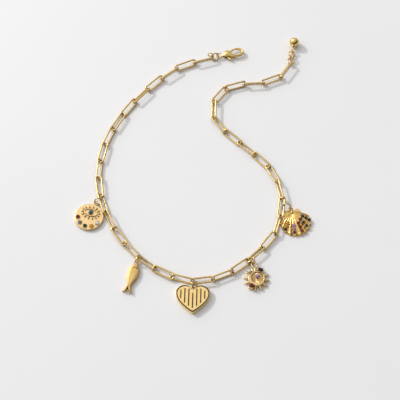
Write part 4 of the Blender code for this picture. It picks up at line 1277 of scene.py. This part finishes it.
@dataclass
class BallDrop(Assembly):
    """The ball at the chain's end, with its cap, neck and eye."""

    across: float = 5.0 * MM
    neck: float = 1.2 * MM
    eye_across: float = 3.0 * MM
    eye_wire: float = 0.6 * MM
    eye_away: float = 4.2 * MM

    def place(self) -> Matrix:
        """Returns the drop's placement: the ball at the origin, X away from the eye, Z through the eye."""
        spots = Place.corners("ball_drop")
        # Only the ball stands as high as this, so a sphere through these corners is the ball
        high = spots[spots[:, 2] > 0.7 * self.across]
        table = np.column_stack((2 * high, np.ones(len(high))))
        middle = np.linalg.lstsq(table, (high ** 2).sum(1), rcond=None)[0][:3]
        eye = spots[np.linalg.norm(spots - middle, axis=1) > self.eye_away]
        axis = Vector(middle - eye.mean(0)).normalized()
        through, _ = Place.axes(eye)
        through = (through - axis * through.dot(axis)).normalized()
        return Place.at(Vector(middle), axis, through.cross(axis), through)

    def build(self) -> None:
        """Models the ball drop along X, eye first, and puts it in its place."""
        radius = self.across / 2
        Bench.clear()
        bpy.ops.mesh.primitive_uv_sphere_add(segments=48, ring_count=24, radius=radius,
                                             rotation=(0.0, math.pi / 2, 0.0))
        ball = Bench.named("ball")
        start = -radius - self.neck - 0.15 * MM
        path = [Vector((start + share * (self.neck + 0.5 * MM), 0.0, 0.0))
                for share in (0.0, 0.2, 0.38, 0.5, 0.64, 0.8, 0.9, 1.0)]
        neck = Bench.drawn("cap", path, mm(0.42, 0.42, 0.5, 0.66, 0.9, 1.12, 1.16, 0.9))
        eye = Bench.wire_loop("eye", self.eye_across, self.eye_across, self.eye_wire)
        eye.data.transform(Matrix.Translation((start - (self.eye_across - self.eye_wire) / 2, 0.0, 0.0)))
        drop = Bench.solder("ball_end", [ball, neck, eye], self.place())
        self.dresser.fit(drop, Finish.BRIGHT, "ball_drop")


@dataclass
class Studio:
    """The pale table, the soft light and the camera."""

    origin: Vector
    elevation: float = 62.0
    distance: float = 0.6212
    lens: float = 112.5
    table_size: float = 6.0

    @staticmethod
    def hang(name: str, data: bpy.types.ID) -> Piece:
        """Puts a lamp or a camera into the scene."""
        item = bpy.data.objects.new(name, data)
        bpy.context.scene.collection.objects.link(item)
        return item

    def floor(self) -> None:
        """Lays the pale table under the necklace."""
        Bench.clear()
        bpy.ops.mesh.primitive_plane_add(size=self.table_size)
        table = Bench.named("table")
        card = Surface("pale_matt_card")
        tone = card.tone((card.noise(60.0, 3.0), "Fac"), "ECECEC", "EFEFEF")
        table.data.materials.append(card.finish({"Roughness": 0.9, "Specular IOR Level": 0.1},
                                                {"Base Color": (tone, "Color")}))

    def sky(self) -> None:
        """Sets the soft surroundings: pale beyond the necklace, dim on the viewer's side."""
        world = bpy.data.worlds.new("studio")
        bpy.context.scene.world = world
        world.use_nodes = True
        tree = world.node_tree
        tree.nodes.clear()
        place = add_node(tree, "ShaderNodeTexCoord")
        near = add_node(tree, "ShaderNodeVectorMath", {"operation": "DOT_PRODUCT"}, {0: (place, "Generated")})
        near.inputs[1].default_value = Vector((-0.45, 0.5, 0.74)).normalized()
        glow = add_node(tree, "ShaderNodeValToRGB", None, {"Fac": (near, "Value")})
        stops = glow.color_ramp.elements
        stops[0].color = (0.12, 0.11, 0.1, 1.0)
        stops.new(0.28).color = (0.51, 0.5, 0.49, 1.0)
        stops[2].position = 0.9
        stops[2].color = (0.89, 0.89, 0.91, 1.0)
        light = add_node(tree, "ShaderNodeBackground", {"Strength": 1.0}, {"Color": (glow, "Color")})
        add_node(tree, "ShaderNodeOutputWorld", None, {"Surface": (light, "Background")})

    def lights(self) -> None:
        """Hangs the key light, far and nearly hard, and a soft window nearer by, both from the upper left."""
        lamp = bpy.data.lights.new("key", "SUN")
        lamp.energy = 1.45
        lamp.angle = math.radians(4.0)
        key = self.hang("key", lamp)
        key.rotation_euler = Vector((0.78, -0.55, -0.62)).to_track_quat("-Z", "Y").to_euler()
        pane = bpy.data.lights.new("window", "AREA")
        pane.energy = 0.8
        pane.size = 0.5
        window = self.hang("window", pane)
        reach = Vector((-0.34, 0.27, 0.3))
        window.location = self.origin + reach
        window.rotation_euler = (-reach).to_track_quat("-Z", "Y").to_euler()

    def camera(self) -> None:
        """Sets the camera at the photograph's angle."""
        lens = bpy.data.cameras.new("camera")
        lens.lens = self.lens
        lens.sensor_width = 36.0
        camera = self.hang("camera", lens)
        angle = math.radians(self.elevation)
        camera.location = self.origin + Vector((0.0, -math.cos(angle), math.sin(angle))) * self.distance
        camera.rotation_euler = (math.radians(90 - self.elevation), 0.0, 0.0)
        bpy.context.scene.camera = camera
        bpy.context.scene.view_settings.view_transform = "Standard"

    def build(self) -> None:
        """Sets up the whole studio."""
        self.floor()
        self.sky()
        self.lights()
        self.camera()


def main() -> None:
    """Sets up the studio, then models and fits every sub-assembly."""
    logging.basicConfig(level=logging.INFO, format="%(name)s: %(message)s")
    Studio(Vector((3.5837 * MM, -17.3013 * MM, 0.0))).build()
    dresser = Dresser()
    for assembly in (Chain, Clasp, EyeDisc, Fish, Heart, Sun, Shell, BallDrop):
        assembly(dresser).build()
        LOG.info("%s is done", assembly.__name__)


if __name__ == "__main__":
    main()
